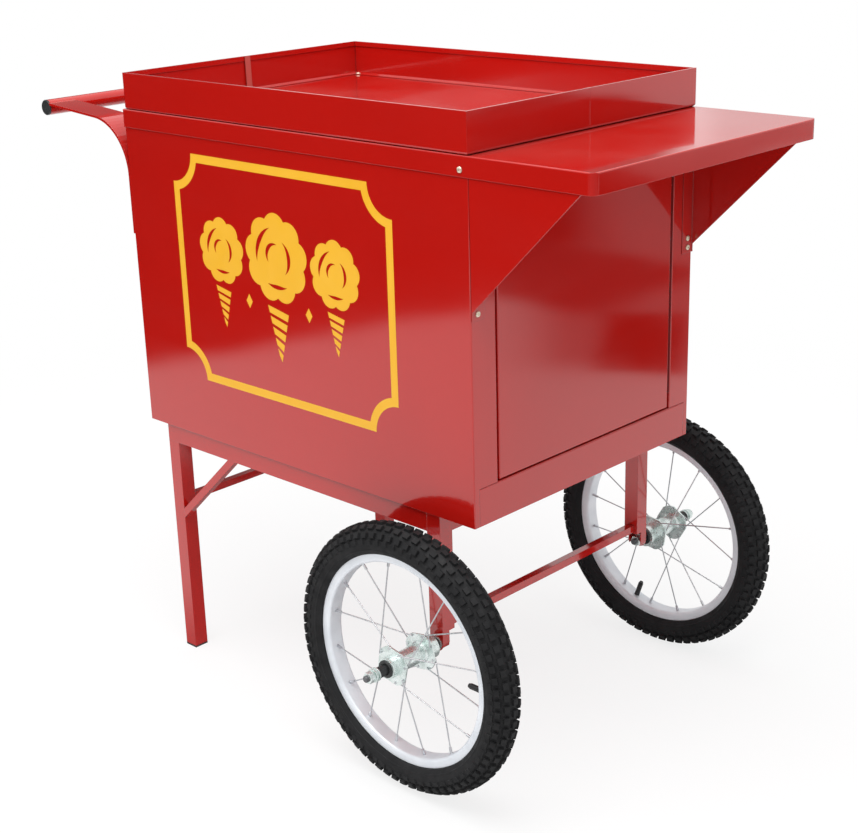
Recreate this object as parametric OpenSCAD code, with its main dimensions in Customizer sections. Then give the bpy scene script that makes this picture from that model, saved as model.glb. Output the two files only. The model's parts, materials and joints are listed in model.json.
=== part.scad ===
// Street cart for making cotton candy: sheet steel cabinet on a square tube frame,
// with a tray on the deck, a shelf at one end, a push bar at the other and two spoked wheels.
// +X runs from the push bar to the shelf, -Y is the front, Z is up and the ground is Z = 0.

/* [Cabinet] */
// Length from the handle end to the shelf end
cabinet_length = 720; // [600:10:900]
// Width across the two side panels
cabinet_width = 492; // [420:4:600]
// Height from the underframe to the deck
cabinet_height = 508; // [420:4:600]
// Thickness of the folded sheet
sheet = 1.2; // [0.8:0.1:1.8]
// Inner radius of a sharp fold
fold_radius = 0.4; // [0.2:0.1:0.8]
// Width of the stile folded round each corner at the shelf end
stile_width = 48; // [40:1:70]
// Depth of the jamb folded back from each stile
jamb_depth = 15; // [13:1:24]
// Width of the flanges on the handle end panel
end_flange = 20; // [12:1:30]
// Height of the upturned edge of the floor pan
floor_edge = 20; // [10:1:40]

/* [Top plate and shelf] */
// Reach of the shelf past the cabinet
shelf_reach = 201; // [150:5:260]
// Height of the skirt folded down round the plate
skirt_height = 28; // [18:1:40]
// Radius of the shelf's two rounded corners
shelf_corner = 10; // [4:1:14]
// Reach of a gusset along the shelf
gusset_reach = 181; // [120:1:190]
// Height of a gusset below the skirt
gusset_drop = 176; // [120:4:260]
// Width of the gusset flange on the stile
gusset_flange = 25; // [20:1:35]
// Length of the gusset flange below the slanted edge
gusset_tail = 12; // [10:1:20]

/* [Tray] */
// Height of the tray wall
tray_height = 55.5; // [40:0.5:90]
// Width of the tray flange on the deck
tray_flange = 13; // [12:0.5:24]
// Inner radius of the fold between flange and wall
tray_fold = 2.6; // [1:0.1:4]
// Distance of the tray from the handle end
tray_setback = 5; // [2:0.5:20]
// Height of the folded hem on the wall
tray_hem = 8; // [5:0.5:12]
// Width of the strip over the joint of the two halves
joint_strip = 11; // [8:1:24]
// Distance by which that strip stands off the wall at its foot
joint_lean = 1.5; // [1:0.5:8]

/* [Door] */
// Height of the sill under the door
sill_height = 55; // [40:1:80]
// Depth of the sill's top fold
sill_depth = 25; // [20:1:40]
// Distance of the sill's ends from the cabinet sides
sill_inset = 10.5; // [6:0.5:16]
// Height of the header above the door
header_height = 43; // [34:1:60]
// Depth of the header's bottom fold
header_depth = 32; // [28:1:45]
// Depth of the folded door
door_depth = 15; // [13:0.5:20]
// Gap at the free edge of the door
door_gap = 4; // [2:0.25:6]
// Gap above and below the door
door_end_gap = 2.6; // [1.5:0.1:4]
// Radius of the hinge knuckles
knuckle_radius = 2.2; // [2:0.1:3]
// Radius of the hinge pin
hinge_pin_radius = 1; // [0.8:0.05:1.1]
// Thickness of the hinge leaves
leaf_thickness = 0.8; // [0.6:0.05:0.9]
// Width of the hinge leaves
leaf_width = 13; // [9:0.5:13]
// Length of the hinge
hinge_length = 360; // [200:10:380]
// Number of knuckles
knuckle_count = 9; // [5:2:15]

/* [Underframe] */
// Width of the square tube
tube = 25; // [20:1:32]
// Height of the rails
rail_height = 30; // [24:1:40]
// Wall of the tubes
tube_wall = 1.5; // [1.2:0.1:2.5]
// Height of the rails above the ground
rail_clearance = 374; // [320:2:440]
// Distance of the frame inside the cabinet side
frame_inset = 4; // [2:0.5:10]
// Distance of the legs from the handle end
leg_setback = 37; // [20:1:80]
// Side of the square bar of the braces
bar_side = 12; // [10:0.5:16]
// Height of a brace along its leg
brace_rise = 124; // [100:2:180]
// Length of a brace along its rail
brace_run = 134; // [100:2:200]
// Height of the stretcher between the legs
stretcher_height = 270; // [200:2:330]
// Thickness of the leg plug under the tube
plug_foot = 3; // [2:0.5:8]
// Depth of the leg plug inside the tube
plug_depth = 16; // [10:1:30]

/* [Wheels] */
// Outer radius of the tyre
tyre_radius = 203; // [196:1:215]
// Width of the tyre over its tread
tyre_width = 50; // [46:1:54]
// Distance of the axle from the shelf end
axle_setback = 83; // [60:1:120]
// Distance between the middle planes of the wheels
wheel_track = 606; // [600:1:640]
// Outer radius of the rim
rim_radius = 159; // [156:0.5:160]
// Depth of the rim
rim_depth = 13; // [11:0.5:14]
// Width of the rim
rim_width = 27; // [25:0.5:29]
// Thickness of the rim
rim_wall = 1.5; // [1.2:0.1:1.8]
// Number of spokes in a wheel
spoke_count = 16; // [16:8:24]
// Radius of a spoke
spoke_radius = 1; // [0.8:0.05:1.1]
// Radius of a nipple
nipple_radius = 2; // [1.7:0.05:2.2]
// Length of a nipple inside the rim
nipple_length = 10; // [7:0.5:14]
// Distance between the hub flanges
flange_spacing = 56; // [50:1:60]
// Radius of the hub flanges
flange_radius = 29; // [28.5:0.1:31]
// Radius of the circle of spoke holes
spoke_circle = 25.5; // [24.5:0.1:25.8]
// Thickness of a hub flange
flange_thickness = 2.4; // [2:0.1:3]
// Radius of the hub barrel
barrel_radius = 14; // [13:0.5:16]
// Radius of the axle
axle_radius = 4.75; // [4.5:0.05:4.9]
// Radius of a bearing ball
ball_radius = 3.175; // [3:0.025:3.3]
// Number of balls in a bearing
ball_count = 8; // [6:1:8]

/* [Handle] */
// Distance of the bar from the handle end
handle_reach = 218; // [160:2:260]
// Depth of the bar's axis below the deck
handle_depth = 16; // [0:1:40]
// Diameter of the bar
handle_diameter = 25; // [20:1:32]
// Thickness of an end cap
handle_cap = 3; // [2:0.5:6]
// Width of an arm
arm_width = 50; // [30:1:70]
// Thickness of an arm
arm_thickness = 4; // [3:0.25:6]
// Bend radius of an arm
arm_bend = 84; // [60:2:110]
// Length of an arm down the end panel, from the deck
arm_drop = 197; // [150:1:300]

/* [Hidden] */
$fn = 48;

// Colours
paint = [0.72, 0.11, 0.08];
zinc = [0.66, 0.70, 0.66];
alloy = [0.80, 0.81, 0.83];
steel = [0.60, 0.60, 0.60];
rubber = [0.07, 0.07, 0.08];
plastic = [0.10, 0.11, 0.11];

// Clearances and small common sizes
overrun = 1;
seam = 0.1;
skirt_gap = 0.3;
run_clearance = 0.05;
knuckle_clearance = 0.4;
fold_steps = 4;
arm_steps = 16;

// Levels and planes of the cabinet
half_width = cabinet_width / 2;
base_z = rail_clearance + rail_height;
deck_z = base_z + cabinet_height;
deck_under = deck_z - sheet;
panel_top = deck_under - seam;
skirt_out = skirt_gap + sheet;
skirt_z = deck_z - skirt_height;
shelf_x = cabinet_length + shelf_reach;
bar_radius = handle_diameter / 2;
middle_x = (shelf_x - handle_reach - bar_radius) / 2;

// Doorway and door
jamb_y = half_width - stile_width;
sill_z = base_z + sill_height;
header_z = deck_z - header_height;
leaf_out = knuckle_radius + knuckle_clearance;
leaf_in = leaf_out - leaf_thickness;
leaf_root = 1.25 * knuckle_radius;
hinge_x = cabinet_length - knuckle_radius - 2 * seam;
hinge_y = jamb_y - leaf_out;
door_hinge_y = hinge_y - leaf_out;
door_free_y = -jamb_y + door_gap;
door_low_z = sill_z + door_end_gap;
door_high_z = header_z - door_end_gap;
door_mid_z = (door_low_z + door_high_z) / 2;
knuckle_gap = 0.4;
knuckle_pitch = hinge_length / knuckle_count;

// Magnetic catch at the top of the door, near its free edge
catch_width = 40;
catch_height = 22;
catch_depth = 14;
catch_inset = 50;
catch_gap = 0.5;
catch_mouth = 4;
striker_leg = 18;
catch_y = door_free_y + catch_inset;
striker_x = cabinet_length - door_depth;

// Tray
tray_x0 = tray_setback;
tray_x1 = cabinet_length;
tray_edge = 0.5;
tray_y = half_width + skirt_out - tray_edge;
hem_width = 2 * sheet + skirt_gap;

// Underframe
frame_y = half_width - frame_inset;
tube_y = frame_y - tube / 2;
leg_x = leg_setback + tube / 2;
axle_x = cabinet_length - axle_setback;
axle_z = tyre_radius;
post_tab = 12;
post_cut = 19;
post_lip = 14;
tie_rise = 27;

// Screws and rivets
screw_radius = 1.7;
screw_head = 4.2;
screw_head_height = 2.4;
screw_crown = 3;
screw_length = 8;
screw_clearance = 0.2;
gusset_screw_in = 12;
gusset_screw_pitch = 14;
gusset_screw_z = skirt_z - gusset_drop - gusset_tail + 2 * screw_head;
skirt_screw_in = 13;
skirt_screw_x = cabinet_length - skirt_screw_in;
skirt_screw_z = skirt_z + skirt_height / 3;
tray_screw_in = 2 * tray_flange / 3;
tray_screw_shares = [0.02, 0.98];
joint_screw_y = joint_strip / 2 + screw_head + sheet;
rivet_radius = 1.9;
rivet_head = 4.8;
rivet_crown = 3.4;
rivet_rise = 1.8;
rivet_rise_shares = [0.14, 0.36];

// Handle arms: centreline falls slightly from the bar, then turns down the end panel
bar_z = deck_z - handle_depth;
arm_start_rise = 5;
arm_fall = 14;

// Tyre section
tyre_half = tyre_width / 2;
shoulder_step = 1.6;
knob_height = 3.4;
carcass_radius = tyre_half - shoulder_step;
tread_radius = carcass_radius + knob_height;
tyre_centre = tyre_radius - tread_radius;
tyre_wall = 5;
cavity_radius = carcass_radius - tyre_wall;
cavity_lift = 3;
bead_inner = 8;
bead_width = 3.6;
bead_depth = 9;
wall_steps = 6;
cavity_steps = 20;
tread_rows = [-58, -39, -19.5, 0, 19.5, 39, 58];
tread_half_angle = 7.5;
tube_wall_thickness = 1.6;
tube_clearance = 0.5;
valve_radius = 4.2;
valve_length = 24;
valve_neck = 3.2;

// Rim and spokes
rim_inner = rim_radius - rim_depth;
rim_bed = rim_inner + rim_wall / 2;
rim_fold = 3;
rim_clearance = 0.3;
spoke_turn = 360 / spoke_count;
spoke_lead = 2 * spoke_turn;
nipple_bore = spoke_radius + run_clearance;
nipple_head = 3;
nipple_head_height = 1.5;
nipple_seat = 1.9;
nipple_clearance = 0.25;
nipple_hole = nipple_radius + nipple_clearance;
elbow_outside = 1.8;
elbow_inside = 0.3;
elbow_share = 1.12;
spoke_head = 1.9;
spoke_head_height = 1;
spoke_hole = spoke_radius + rim_clearance;

// Hub and bearings, measured along the axle from the wheel's middle plane, outwards positive
flange_s = flange_spacing / 2;
flange_trim = 2.3;
flange_flat = flange_radius - flange_trim;
hub_outer_end = 41.5;
hub_inner_end = 49.5;
hub_outer_radius = 15.5;
hub_inner_radius = 17;
hub_bore = 8;
barrel_flare = 2.5;
flare_length = 5;
ball_circle = 9;
ball_inset = 6.3;
race_radius = ball_radius + 2 * run_clearance;
cup_radius = ball_circle + race_radius + 2 * seam;
cup_step = 1.2;
cone_tip = 2.4;
cone_radius = 8;
cone_bore = axle_radius + run_clearance;
cap_radius = 13;
cap_thickness = 3;
cap_spigot = 2.4;
cap_wall = 1.6;
cap_clearance = 0.4;
axle_outer_tip = 82.5;
axle_inner_tip = 80;
axle_chamfer = 1;
outer_cone_end = 60.5;
nut_flats = 15;
nut_height = 10;
nut_chamfer = 1.4;
lock_nut_height = 4;
washer_radius = 10;
washer_thickness = 1.6;
post_face_s = wheel_track / 2 - frame_y;
inner_cone_end = post_face_s - washer_thickness;
front_wheel_turn = 0;
back_wheel_turn = 250.5;

// Plane geometry of folded strips
function unit(v) = v / norm(v);
function left_of(d) = [-d.y, d.x];
function spun(d, a) = [d.x * cos(a) - d.y * sin(a), d.x * sin(a) + d.y * cos(a)];
function turn(a, b) = atan2(a.x * b.y - a.y * b.x, a.x * b.x + a.y * b.y);

// Stations along one bend of a strip: point on the centreline and its left normal
function bend_stations(before, corner, after, radius, steps) =
  let (d0 = unit(corner - before))
  let (d1 = unit(after - corner))
  let (a = turn(d0, d1))
  let (side = sign(a))
  let (start = corner - d0 * radius * tan(abs(a) / 2))
  let (centre = start + left_of(d0) * side * radius)
  [for (k = [0 : steps])
    let (n = left_of(spun(d0, a * k / steps)))
    [centre - n * side * radius, n]];

function strip_stations(path, radius, steps) =
  let (last = len(path) - 1)
  [
    [path[0], left_of(unit(path[1] - path[0]))],
    for (i = [1 : last - 1])
      each bend_stations(path[i - 1], path[i], path[i + 1], radius, steps),
    [path[last], left_of(unit(path[last] - path[last - 1]))]
  ];

// Section of a sheet folded along a centreline, with rounded folds
module folded(path, thickness, inner_radius, steps = fold_steps) {
  stations = strip_stations(path, inner_radius + thickness / 2, steps);
  near = [for (s = stations) s[0] + s[1] * thickness / 2];
  far = [for (i = [len(stations) - 1 : -1 : 0]) stations[i][0] - stations[i][1] * thickness / 2];
  polygon(concat(near, far));
}

// Section extruded along X from 0, with its axes along Y and Z
module along_x(length) {
  rotate([90, 0, 90])
    linear_extrude(length)
      children();
}

// Section extruded along Y about the middle, with its axes along X and Z
module along_y(length) {
  rotate([90, 0, 0])
    linear_extrude(length, center = true)
      children();
}

// Outline of a trough with rounded lower corners
function trough(width, depth, radius) = concat(
  [[width / 2, depth]],
  [for (k = [0 : fold_steps])
    let (a = -90 * k / fold_steps)
    [width / 2 - radius + radius * cos(a), radius + radius * sin(a)]],
  [for (k = [0 : fold_steps])
    let (a = -90 - 90 * k / fold_steps)
    [radius - width / 2 + radius * cos(a), radius + radius * sin(a)]],
  [[-width / 2, depth]]
);

module trough_block(length, width, depth, radius) {
  intersection() {
    translate([-length / 2, 0, 0])
      along_x(length)
        polygon(trough(width, depth, radius));
    along_y(width)
      polygon(trough(length, depth, radius));
  }
}

// Sheet with all four edges folded up, base at Z = 0
module pan(length, width, depth) {
  difference() {
    trough_block(length, width, depth, fold_radius + sheet);
    translate([0, 0, sheet])
      trough_block(length - 2 * sheet, width - 2 * sheet, depth, fold_radius);
  }
}

// Everything is drawn from the cabinet's handle end and then moved to the middle of the cart
module cart_frame() {
  translate([-middle_x, 0, 0])
    children();
}

module on_both_sides() {
  children();
  mirror([0, 1, 0])
    children();
}

// Places of the screws and rivets on the front half, each with its head's direction
module gusset_screw_places() {
  for (k = [0, 1])
    translate([cabinet_length + sheet, gusset_screw_in - half_width, gusset_screw_z + k * gusset_screw_pitch])
      rotate([0, 90, 0])
        children();
}

module skirt_screw_place() {
  translate([skirt_screw_x, -half_width - skirt_out, skirt_screw_z])
    rotate([90, 0, 0])
      children();
}

module tray_screw_places() {
  span = tray_x1 - tray_x0;
  for (share = tray_screw_shares)
    translate([tray_x0 + span * share, tray_screw_in - tray_y, deck_z + sheet])
      children();
  for (x = [tray_x0 + tray_screw_in, tray_x1 - tray_screw_in])
    translate([x, -joint_screw_y, deck_z + sheet])
      children();
}

module rivet_places() {
  for (share = rivet_rise_shares)
    translate([0, arm_width / 2 - half_width, deck_z - arm_drop * (1 - share)])
      rotate([0, -90, 0])
        children();
}

module screw_holes() {
  hole = screw_radius + screw_clearance;
  for (side = [0, 1])
    mirror([0, side, 0]) {
      gusset_screw_places()
        cylinder(r = hole, h = 2 * screw_length, center = true);
      skirt_screw_place()
        cylinder(r = hole, h = 2 * screw_length, center = true);
      tray_screw_places()
        cylinder(r = hole, h = 2 * screw_length, center = true);
    }
}

module rivet_holes() {
  rivet_places()
    cylinder(r = rivet_radius + run_clearance, h = 2 * screw_length, center = true);
}

// Cabinet

module side_panel() {
  path = [
    [0, sheet / 2 - half_width],
    [cabinet_length - sheet / 2, sheet / 2 - half_width],
    [cabinet_length - sheet / 2, -jamb_y - sheet / 2],
    [cabinet_length - jamb_depth, -jamb_y - sheet / 2]
  ];
  difference() {
    translate([0, 0, base_z])
      linear_extrude(panel_top - base_z)
        folded(path, sheet, fold_radius);
    translate([cabinet_length - jamb_depth - overrun, sill_inset - half_width - skirt_gap, base_z - overrun])
      cube([jamb_depth + 2 * overrun, stile_width, sill_height + skirt_gap + overrun]);
    screw_holes();
  }
}

module front_panel() {
  color(paint)
    cart_frame()
      side_panel();
}

module back_panel() {
  color(paint)
    cart_frame()
      mirror([0, 1, 0])
        side_panel();
}

module handle_end_panel() {
  side_y = half_width - sheet - seam - sheet / 2;
  path = [
    [end_flange, -side_y],
    [sheet / 2, -side_y],
    [sheet / 2, side_y],
    [end_flange, side_y]
  ];
  color(paint)
    cart_frame()
      difference() {
        translate([0, 0, base_z])
          linear_extrude(panel_top - base_z)
            folded(path, sheet, fold_radius);
        on_both_sides()
          rivet_holes();
      }
}

module floor_pan() {
  length = cabinet_length - 2 * (sheet + seam);
  width = cabinet_width - 4 * (sheet + seam);
  color(paint)
    cart_frame()
      translate([cabinet_length / 2, 0, base_z])
        pan(length, width, floor_edge);
}

module door_sill() {
  path = [
    [cabinet_length - sheet / 2, base_z],
    [cabinet_length - sheet / 2, sill_z - sheet / 2],
    [cabinet_length - sill_depth, sill_z - sheet / 2]
  ];
  color(paint)
    cart_frame()
      along_y(cabinet_width - 2 * sill_inset)
        folded(path, sheet, fold_radius);
}

module door_header() {
  path = [
    [cabinet_length - sheet / 2, panel_top],
    [cabinet_length - sheet / 2, header_z + sheet / 2],
    [cabinet_length - header_depth, header_z + sheet / 2]
  ];
  color(paint)
    cart_frame()
      along_y(2 * (jamb_y - seam))
        folded(path, sheet, fold_radius);
}

// What is cut away to round the front corner of the shelf, from the corner at the origin
module corner_waste(radius) {
  height = skirt_height + 2 * overrun;
  difference() {
    translate([-radius, -overrun, -height])
      cube([radius + overrun, radius + overrun, height + overrun]);
    translate([-radius, radius, -height - overrun])
      cylinder(r = radius, h = height + 3 * overrun);
  }
}

// Outside of the top plate and skirt, drawn in by the given distance
module plate_block(inset) {
  length = shelf_x + skirt_out;
  width = cabinet_width + 2 * skirt_out;
  translate([0, 0, deck_z - inset])
    difference() {
      translate([length / 2 - skirt_out, 0, 0])
        mirror([0, 0, 1])
          trough_block(length - 2 * inset, width - 2 * inset, skirt_height, fold_radius + sheet - inset);
      on_both_sides()
        translate([shelf_x - inset, inset - width / 2, 0])
          corner_waste(shelf_corner - inset);
    }
}

module top_plate() {
  color(paint)
    cart_frame()
      difference() {
        plate_block(0);
        plate_block(sheet);
        screw_holes();
      }
}

module gusset() {
  low_z = skirt_z - gusset_drop;
  tail_z = low_z - gusset_tail;
  tip_x = cabinet_length + gusset_reach;
  lip_x = cabinet_length + 2 * sheet;
  path = [
    [tip_x, sheet / 2 - half_width],
    [cabinet_length + sheet / 2, sheet / 2 - half_width],
    [cabinet_length + sheet / 2, gusset_flange - half_width]
  ];
  outline = [
    [cabinet_length - overrun, tail_z],
    [lip_x, tail_z],
    [lip_x, low_z],
    [tip_x, skirt_z],
    [tip_x + overrun, skirt_z],
    [tip_x + overrun, panel_top],
    [cabinet_length - overrun, panel_top]
  ];
  difference() {
    intersection() {
      translate([0, 0, tail_z])
        linear_extrude(panel_top - tail_z)
          folded(path, sheet, fold_radius);
      along_y(2 * cabinet_width)
        polygon(outline);
    }
    gusset_screw_places()
      cylinder(r = screw_radius + screw_clearance, h = 2 * screw_length, center = true);
  }
}

module front_gusset() {
  color(paint)
    cart_frame()
      gusset();
}

module back_gusset() {
  color(paint)
    cart_frame()
      mirror([0, 1, 0])
        gusset();
}

// Tray

module tray_section() {
  path = [
    [tray_flange, sheet / 2],
    [sheet / 2, sheet / 2],
    [sheet / 2, tray_height]
  ];
  folded(path, sheet, tray_fold);
  translate([0, tray_height - tray_hem])
    square([hem_width, tray_hem]);
}

module tray_end_wall() {
  intersection() {
    translate([0, -seam / 2, 0])
      rotate([90, 0, 0])
        linear_extrude(tray_y - seam / 2)
          tray_section();
    linear_extrude(tray_height)
      polygon([[0, -tray_y], [tray_flange, tray_flange - tray_y], [tray_flange, 0], [0, 0]]);
  }
}

module tray_half() {
  span = tray_x1 - tray_x0;
  difference() {
    translate([tray_x0, 0, deck_z])
      union() {
        intersection() {
          translate([0, -tray_y, 0])
            along_x(span)
              tray_section();
          linear_extrude(tray_height)
            polygon([
              [0, -tray_y],
              [span, -tray_y],
              [span - tray_flange, tray_flange - tray_y],
              [tray_flange, tray_flange - tray_y]
            ]);
        }
        tray_end_wall();
        translate([span, 0, 0])
          mirror([1, 0, 0])
            tray_end_wall();
      }
    tray_screw_places()
      cylinder(r = screw_radius + screw_clearance, h = 2 * screw_length, center = true);
  }
}

module tray_front_half() {
  color(paint)
    cart_frame()
      tray_half();
}

module tray_back_half() {
  color(paint)
    cart_frame()
      mirror([0, 1, 0])
        tray_half();
}

// Strip that leans from the flange up against the hem, across the joint of the two halves
module joint_cover() {
  top_x = hem_width + seam;
  foot_x = top_x + joint_lean;
  foot_z = sheet + seam;
  along_y(joint_strip)
    polygon([
      [top_x, tray_height],
      [top_x + sheet, tray_height],
      [foot_x + sheet, foot_z],
      [foot_x, foot_z]
    ]);
}

module tray_joint_strips() {
  color(paint)
    cart_frame()
      translate([tray_x0, 0, deck_z]) {
        joint_cover();
        translate([tray_x1 - tray_x0, 0, 0])
          mirror([1, 0, 0])
            joint_cover();
      }
}

// Underframe

module square_tube(length, height) {
  difference() {
    translate([0, -tube / 2, 0])
      cube([length, tube, height]);
    translate([tube_wall, tube_wall - tube / 2, tube_wall])
      cube([length - 2 * tube_wall, tube - 2 * tube_wall, height - 2 * tube_wall]);
  }
}

module long_rail() {
  translate([leg_setback, -tube_y, rail_clearance])
    square_tube(axle_x - tube / 2 - leg_setback, rail_height);
}

module front_rail() {
  color(paint)
    cart_frame()
      long_rail();
}

module back_rail() {
  color(paint)
    cart_frame()
      mirror([0, 1, 0])
        long_rail();
}

module cross_rail(x) {
  span = 2 * (tube_y - tube / 2);
  translate([x, -span / 2, rail_clearance])
    rotate([0, 0, 90])
      square_tube(span, rail_height);
}

module leg_cross_rail() {
  color(paint)
    cart_frame()
      cross_rail(leg_x);
}

module post_cross_rail() {
  color(paint)
    cart_frame()
      cross_rail(axle_x);
}

module leg() {
  inner = tube - 2 * tube_wall;
  translate([leg_x, -tube_y, plug_foot])
    difference() {
      translate([-tube / 2, -tube / 2, 0])
        cube([tube, tube, rail_clearance - plug_foot]);
      translate([-inner / 2, -inner / 2, -overrun])
        cube([inner, inner, rail_clearance - plug_foot - tube_wall + overrun]);
    }
}

module front_leg() {
  color(paint)
    cart_frame()
      leg();
}

module back_leg() {
  color(paint)
    cart_frame()
      mirror([0, 1, 0])
        leg();
}

module leg_plug() {
  inner = tube - 2 * tube_wall - 2 * seam;
  hollow = inner - 4 * tube_wall;
  translate([leg_x, -tube_y, 0])
    difference() {
      union() {
        translate([-tube / 2, -tube / 2, 0])
          cube([tube, tube, plug_foot]);
        translate([-inner / 2, -inner / 2, 0])
          cube([inner, inner, plug_foot + plug_depth]);
      }
      translate([-hollow / 2, -hollow / 2, plug_foot])
        cube([hollow, hollow, plug_depth + overrun]);
    }
}

module leg_plugs() {
  color(plastic)
    cart_frame()
      on_both_sides()
        leg_plug();
}

module brace() {
  foot_x = leg_setback + tube;
  reach = norm([brace_run, brace_rise]);
  foot = bar_side / 2 * reach / brace_run;
  top = bar_side / 2 * reach / brace_rise;
  translate([0, bar_side / 2 - frame_y, 0])
    along_y(bar_side)
      polygon([
        [foot_x, rail_clearance - brace_rise - foot],
        [foot_x, rail_clearance - brace_rise + foot],
        [foot_x + brace_run - top, rail_clearance],
        [foot_x + brace_run + top, rail_clearance]
      ]);
}

module front_brace() {
  color(paint)
    cart_frame()
      brace();
}

module back_brace() {
  color(paint)
    cart_frame()
      mirror([0, 1, 0])
        brace();
}

// Square bar across the cart between the two frame sides
module cross_bar(x, z) {
  span = 2 * (tube_y - tube / 2);
  translate([x, 0, z])
    cube([bar_side, span, bar_side], center = true);
}

module leg_stretcher() {
  color(paint)
    cart_frame()
      cross_bar(leg_x, stretcher_height);
}

module post_tie_bar() {
  color(paint)
    cart_frame()
      cross_bar(axle_x, axle_z + tie_rise);
}

// Tube whose inboard half is cut away at the bottom to leave a rounded tab for the axle
module post() {
  inner = tube - 2 * tube_wall;
  low_z = axle_z - post_tab;
  translate([axle_x, -tube_y, 0])
    difference() {
      along_y(tube) {
        translate([-tube / 2, axle_z])
          square([tube, base_z - axle_z]);
        translate([0, axle_z])
          circle(r = post_tab);
      }
      translate([-inner / 2, -inner / 2, low_z - overrun])
        cube([inner, inner, base_z - tube_wall - low_z + overrun]);
      translate([-tube, post_lip - tube / 2, low_z - overrun])
        cube([2 * tube, tube, post_tab + post_cut + overrun]);
      translate([0, 0, axle_z])
        rotate([90, 0, 0])
          cylinder(r = axle_radius + 2 * run_clearance, h = 2 * tube, center = true);
    }
}

module front_post() {
  color(paint)
    cart_frame()
      post();
}

module back_post() {
  color(paint)
    cart_frame()
      mirror([0, 1, 0])
        post();
}

// Handle

module bar_place() {
  translate([-handle_reach, 0, bar_z])
    rotate([90, 0, 0])
      children();
}

module handle_bar() {
  length = cabinet_width - 2 * handle_cap;
  color(paint)
    cart_frame()
      bar_place()
        difference() {
          cylinder(r = bar_radius, h = length, center = true);
          cylinder(r = bar_radius - tube_wall, h = length + overrun, center = true);
        }
}

module handle_caps() {
  inner = bar_radius - tube_wall - seam;
  edge = handle_cap / 3;
  color(plastic)
    cart_frame()
      on_both_sides()
        bar_place()
          translate([0, 0, half_width - handle_cap])
            rotate_extrude()
              polygon([
                [0, -plug_depth],
                [inner, -plug_depth],
                [inner, 0],
                [bar_radius, 0],
                [bar_radius, handle_cap - edge],
                [bar_radius - edge, handle_cap],
                [0, handle_cap]
              ]);
}

module handle_arm() {
  path = [
    [-handle_reach, bar_z + arm_start_rise + arm_thickness / 2],
    [-arm_thickness / 2, bar_z + arm_start_rise - arm_fall],
    [-arm_thickness / 2, deck_z - arm_drop]
  ];
  difference() {
    translate([0, arm_width / 2 - half_width, 0])
      along_y(arm_width)
        folded(path, arm_thickness, arm_bend, arm_steps);
    bar_place()
      cylinder(r = bar_radius + seam, h = 2 * cabinet_width, center = true);
    rivet_holes();
  }
}

module front_handle_arm() {
  color(paint)
    cart_frame()
      handle_arm();
}

module back_handle_arm() {
  color(paint)
    cart_frame()
      mirror([0, 1, 0])
        handle_arm();
}

module handle_rivets() {
  color(steel)
    cart_frame()
      on_both_sides()
        rivet_places()
          rotate_extrude()
            polygon([
              [0, -sheet - rivet_rise],
              [rivet_crown, -sheet - rivet_rise],
              [rivet_head, -sheet],
              [rivet_radius, -sheet],
              [rivet_radius, arm_thickness],
              [rivet_head, arm_thickness],
              [rivet_crown, arm_thickness + rivet_rise],
              [0, arm_thickness + rivet_rise]
            ]);
}

// Pan-head screw with its head above Z = 0
module screw() {
  rotate_extrude()
    polygon([
      [0, -screw_length],
      [screw_radius / 2, -screw_length],
      [screw_radius, screw_radius - screw_length],
      [screw_radius, 0],
      [screw_head, 0],
      [screw_head, screw_head_height / 2],
      [screw_crown, screw_head_height],
      [0, screw_head_height]
    ]);
}

module sheet_screws() {
  color(steel)
    cart_frame()
      on_both_sides() {
        gusset_screw_places()
          screw();
        skirt_screw_place()
          screw();
        tray_screw_places()
          screw();
      }
}

// Door and hinge

module hinge_place() {
  translate([hinge_x, hinge_y, door_mid_z - hinge_length / 2])
    children();
}

// Leaf on the +Y side of the pin, with every second knuckle
module hinge_leaf(first) {
  difference() {
    union() {
      translate([-leaf_width, leaf_in, 0])
        cube([leaf_width - leaf_root, leaf_thickness, hinge_length]);
      for (i = [first : 2 : knuckle_count - 1])
        translate([0, 0, i * knuckle_pitch + knuckle_gap / 2]) {
          cylinder(r = knuckle_radius, h = knuckle_pitch - knuckle_gap);
          translate([-leaf_root - overrun, leaf_in, 0])
            cube([leaf_root + overrun, leaf_thickness, knuckle_pitch - knuckle_gap]);
        }
    }
    translate([0, 0, -overrun])
      cylinder(r = hinge_pin_radius + run_clearance, h = hinge_length + 2 * overrun);
  }
}

module hinge_fixed_leaf() {
  color(paint)
    cart_frame()
      hinge_place()
        hinge_leaf(0);
}

module hinge_door_leaf() {
  color(paint)
    cart_frame()
      hinge_place()
        mirror([0, 1, 0])
          hinge_leaf(1);
}

module hinge_pin() {
  color(steel)
    cart_frame()
      hinge_place()
        cylinder(r = hinge_pin_radius, h = hinge_length);
}

module door() {
  width = door_hinge_y - door_free_y;
  color(paint)
    cart_frame()
      translate([cabinet_length, (door_hinge_y + door_free_y) / 2, door_mid_z])
        rotate([0, -90, 0])
          pan(door_high_z - door_low_z, width, door_depth);
}

module door_catch() {
  face_x = striker_x - sheet - catch_gap;
  mid_z = header_z - catch_height / 2;
  color(plastic)
    cart_frame()
      translate([0, catch_y, 0])
        along_y(catch_width)
          polygon([
            [face_x - catch_depth, header_z],
            [face_x, header_z],
            [face_x, mid_z + catch_mouth / 2],
            [face_x - catch_mouth, mid_z + catch_mouth / 2],
            [face_x - catch_mouth, mid_z - catch_mouth / 2],
            [face_x, mid_z - catch_mouth / 2],
            [face_x, header_z - catch_height],
            [face_x - catch_depth, header_z - catch_height]
          ]);
}

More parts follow.
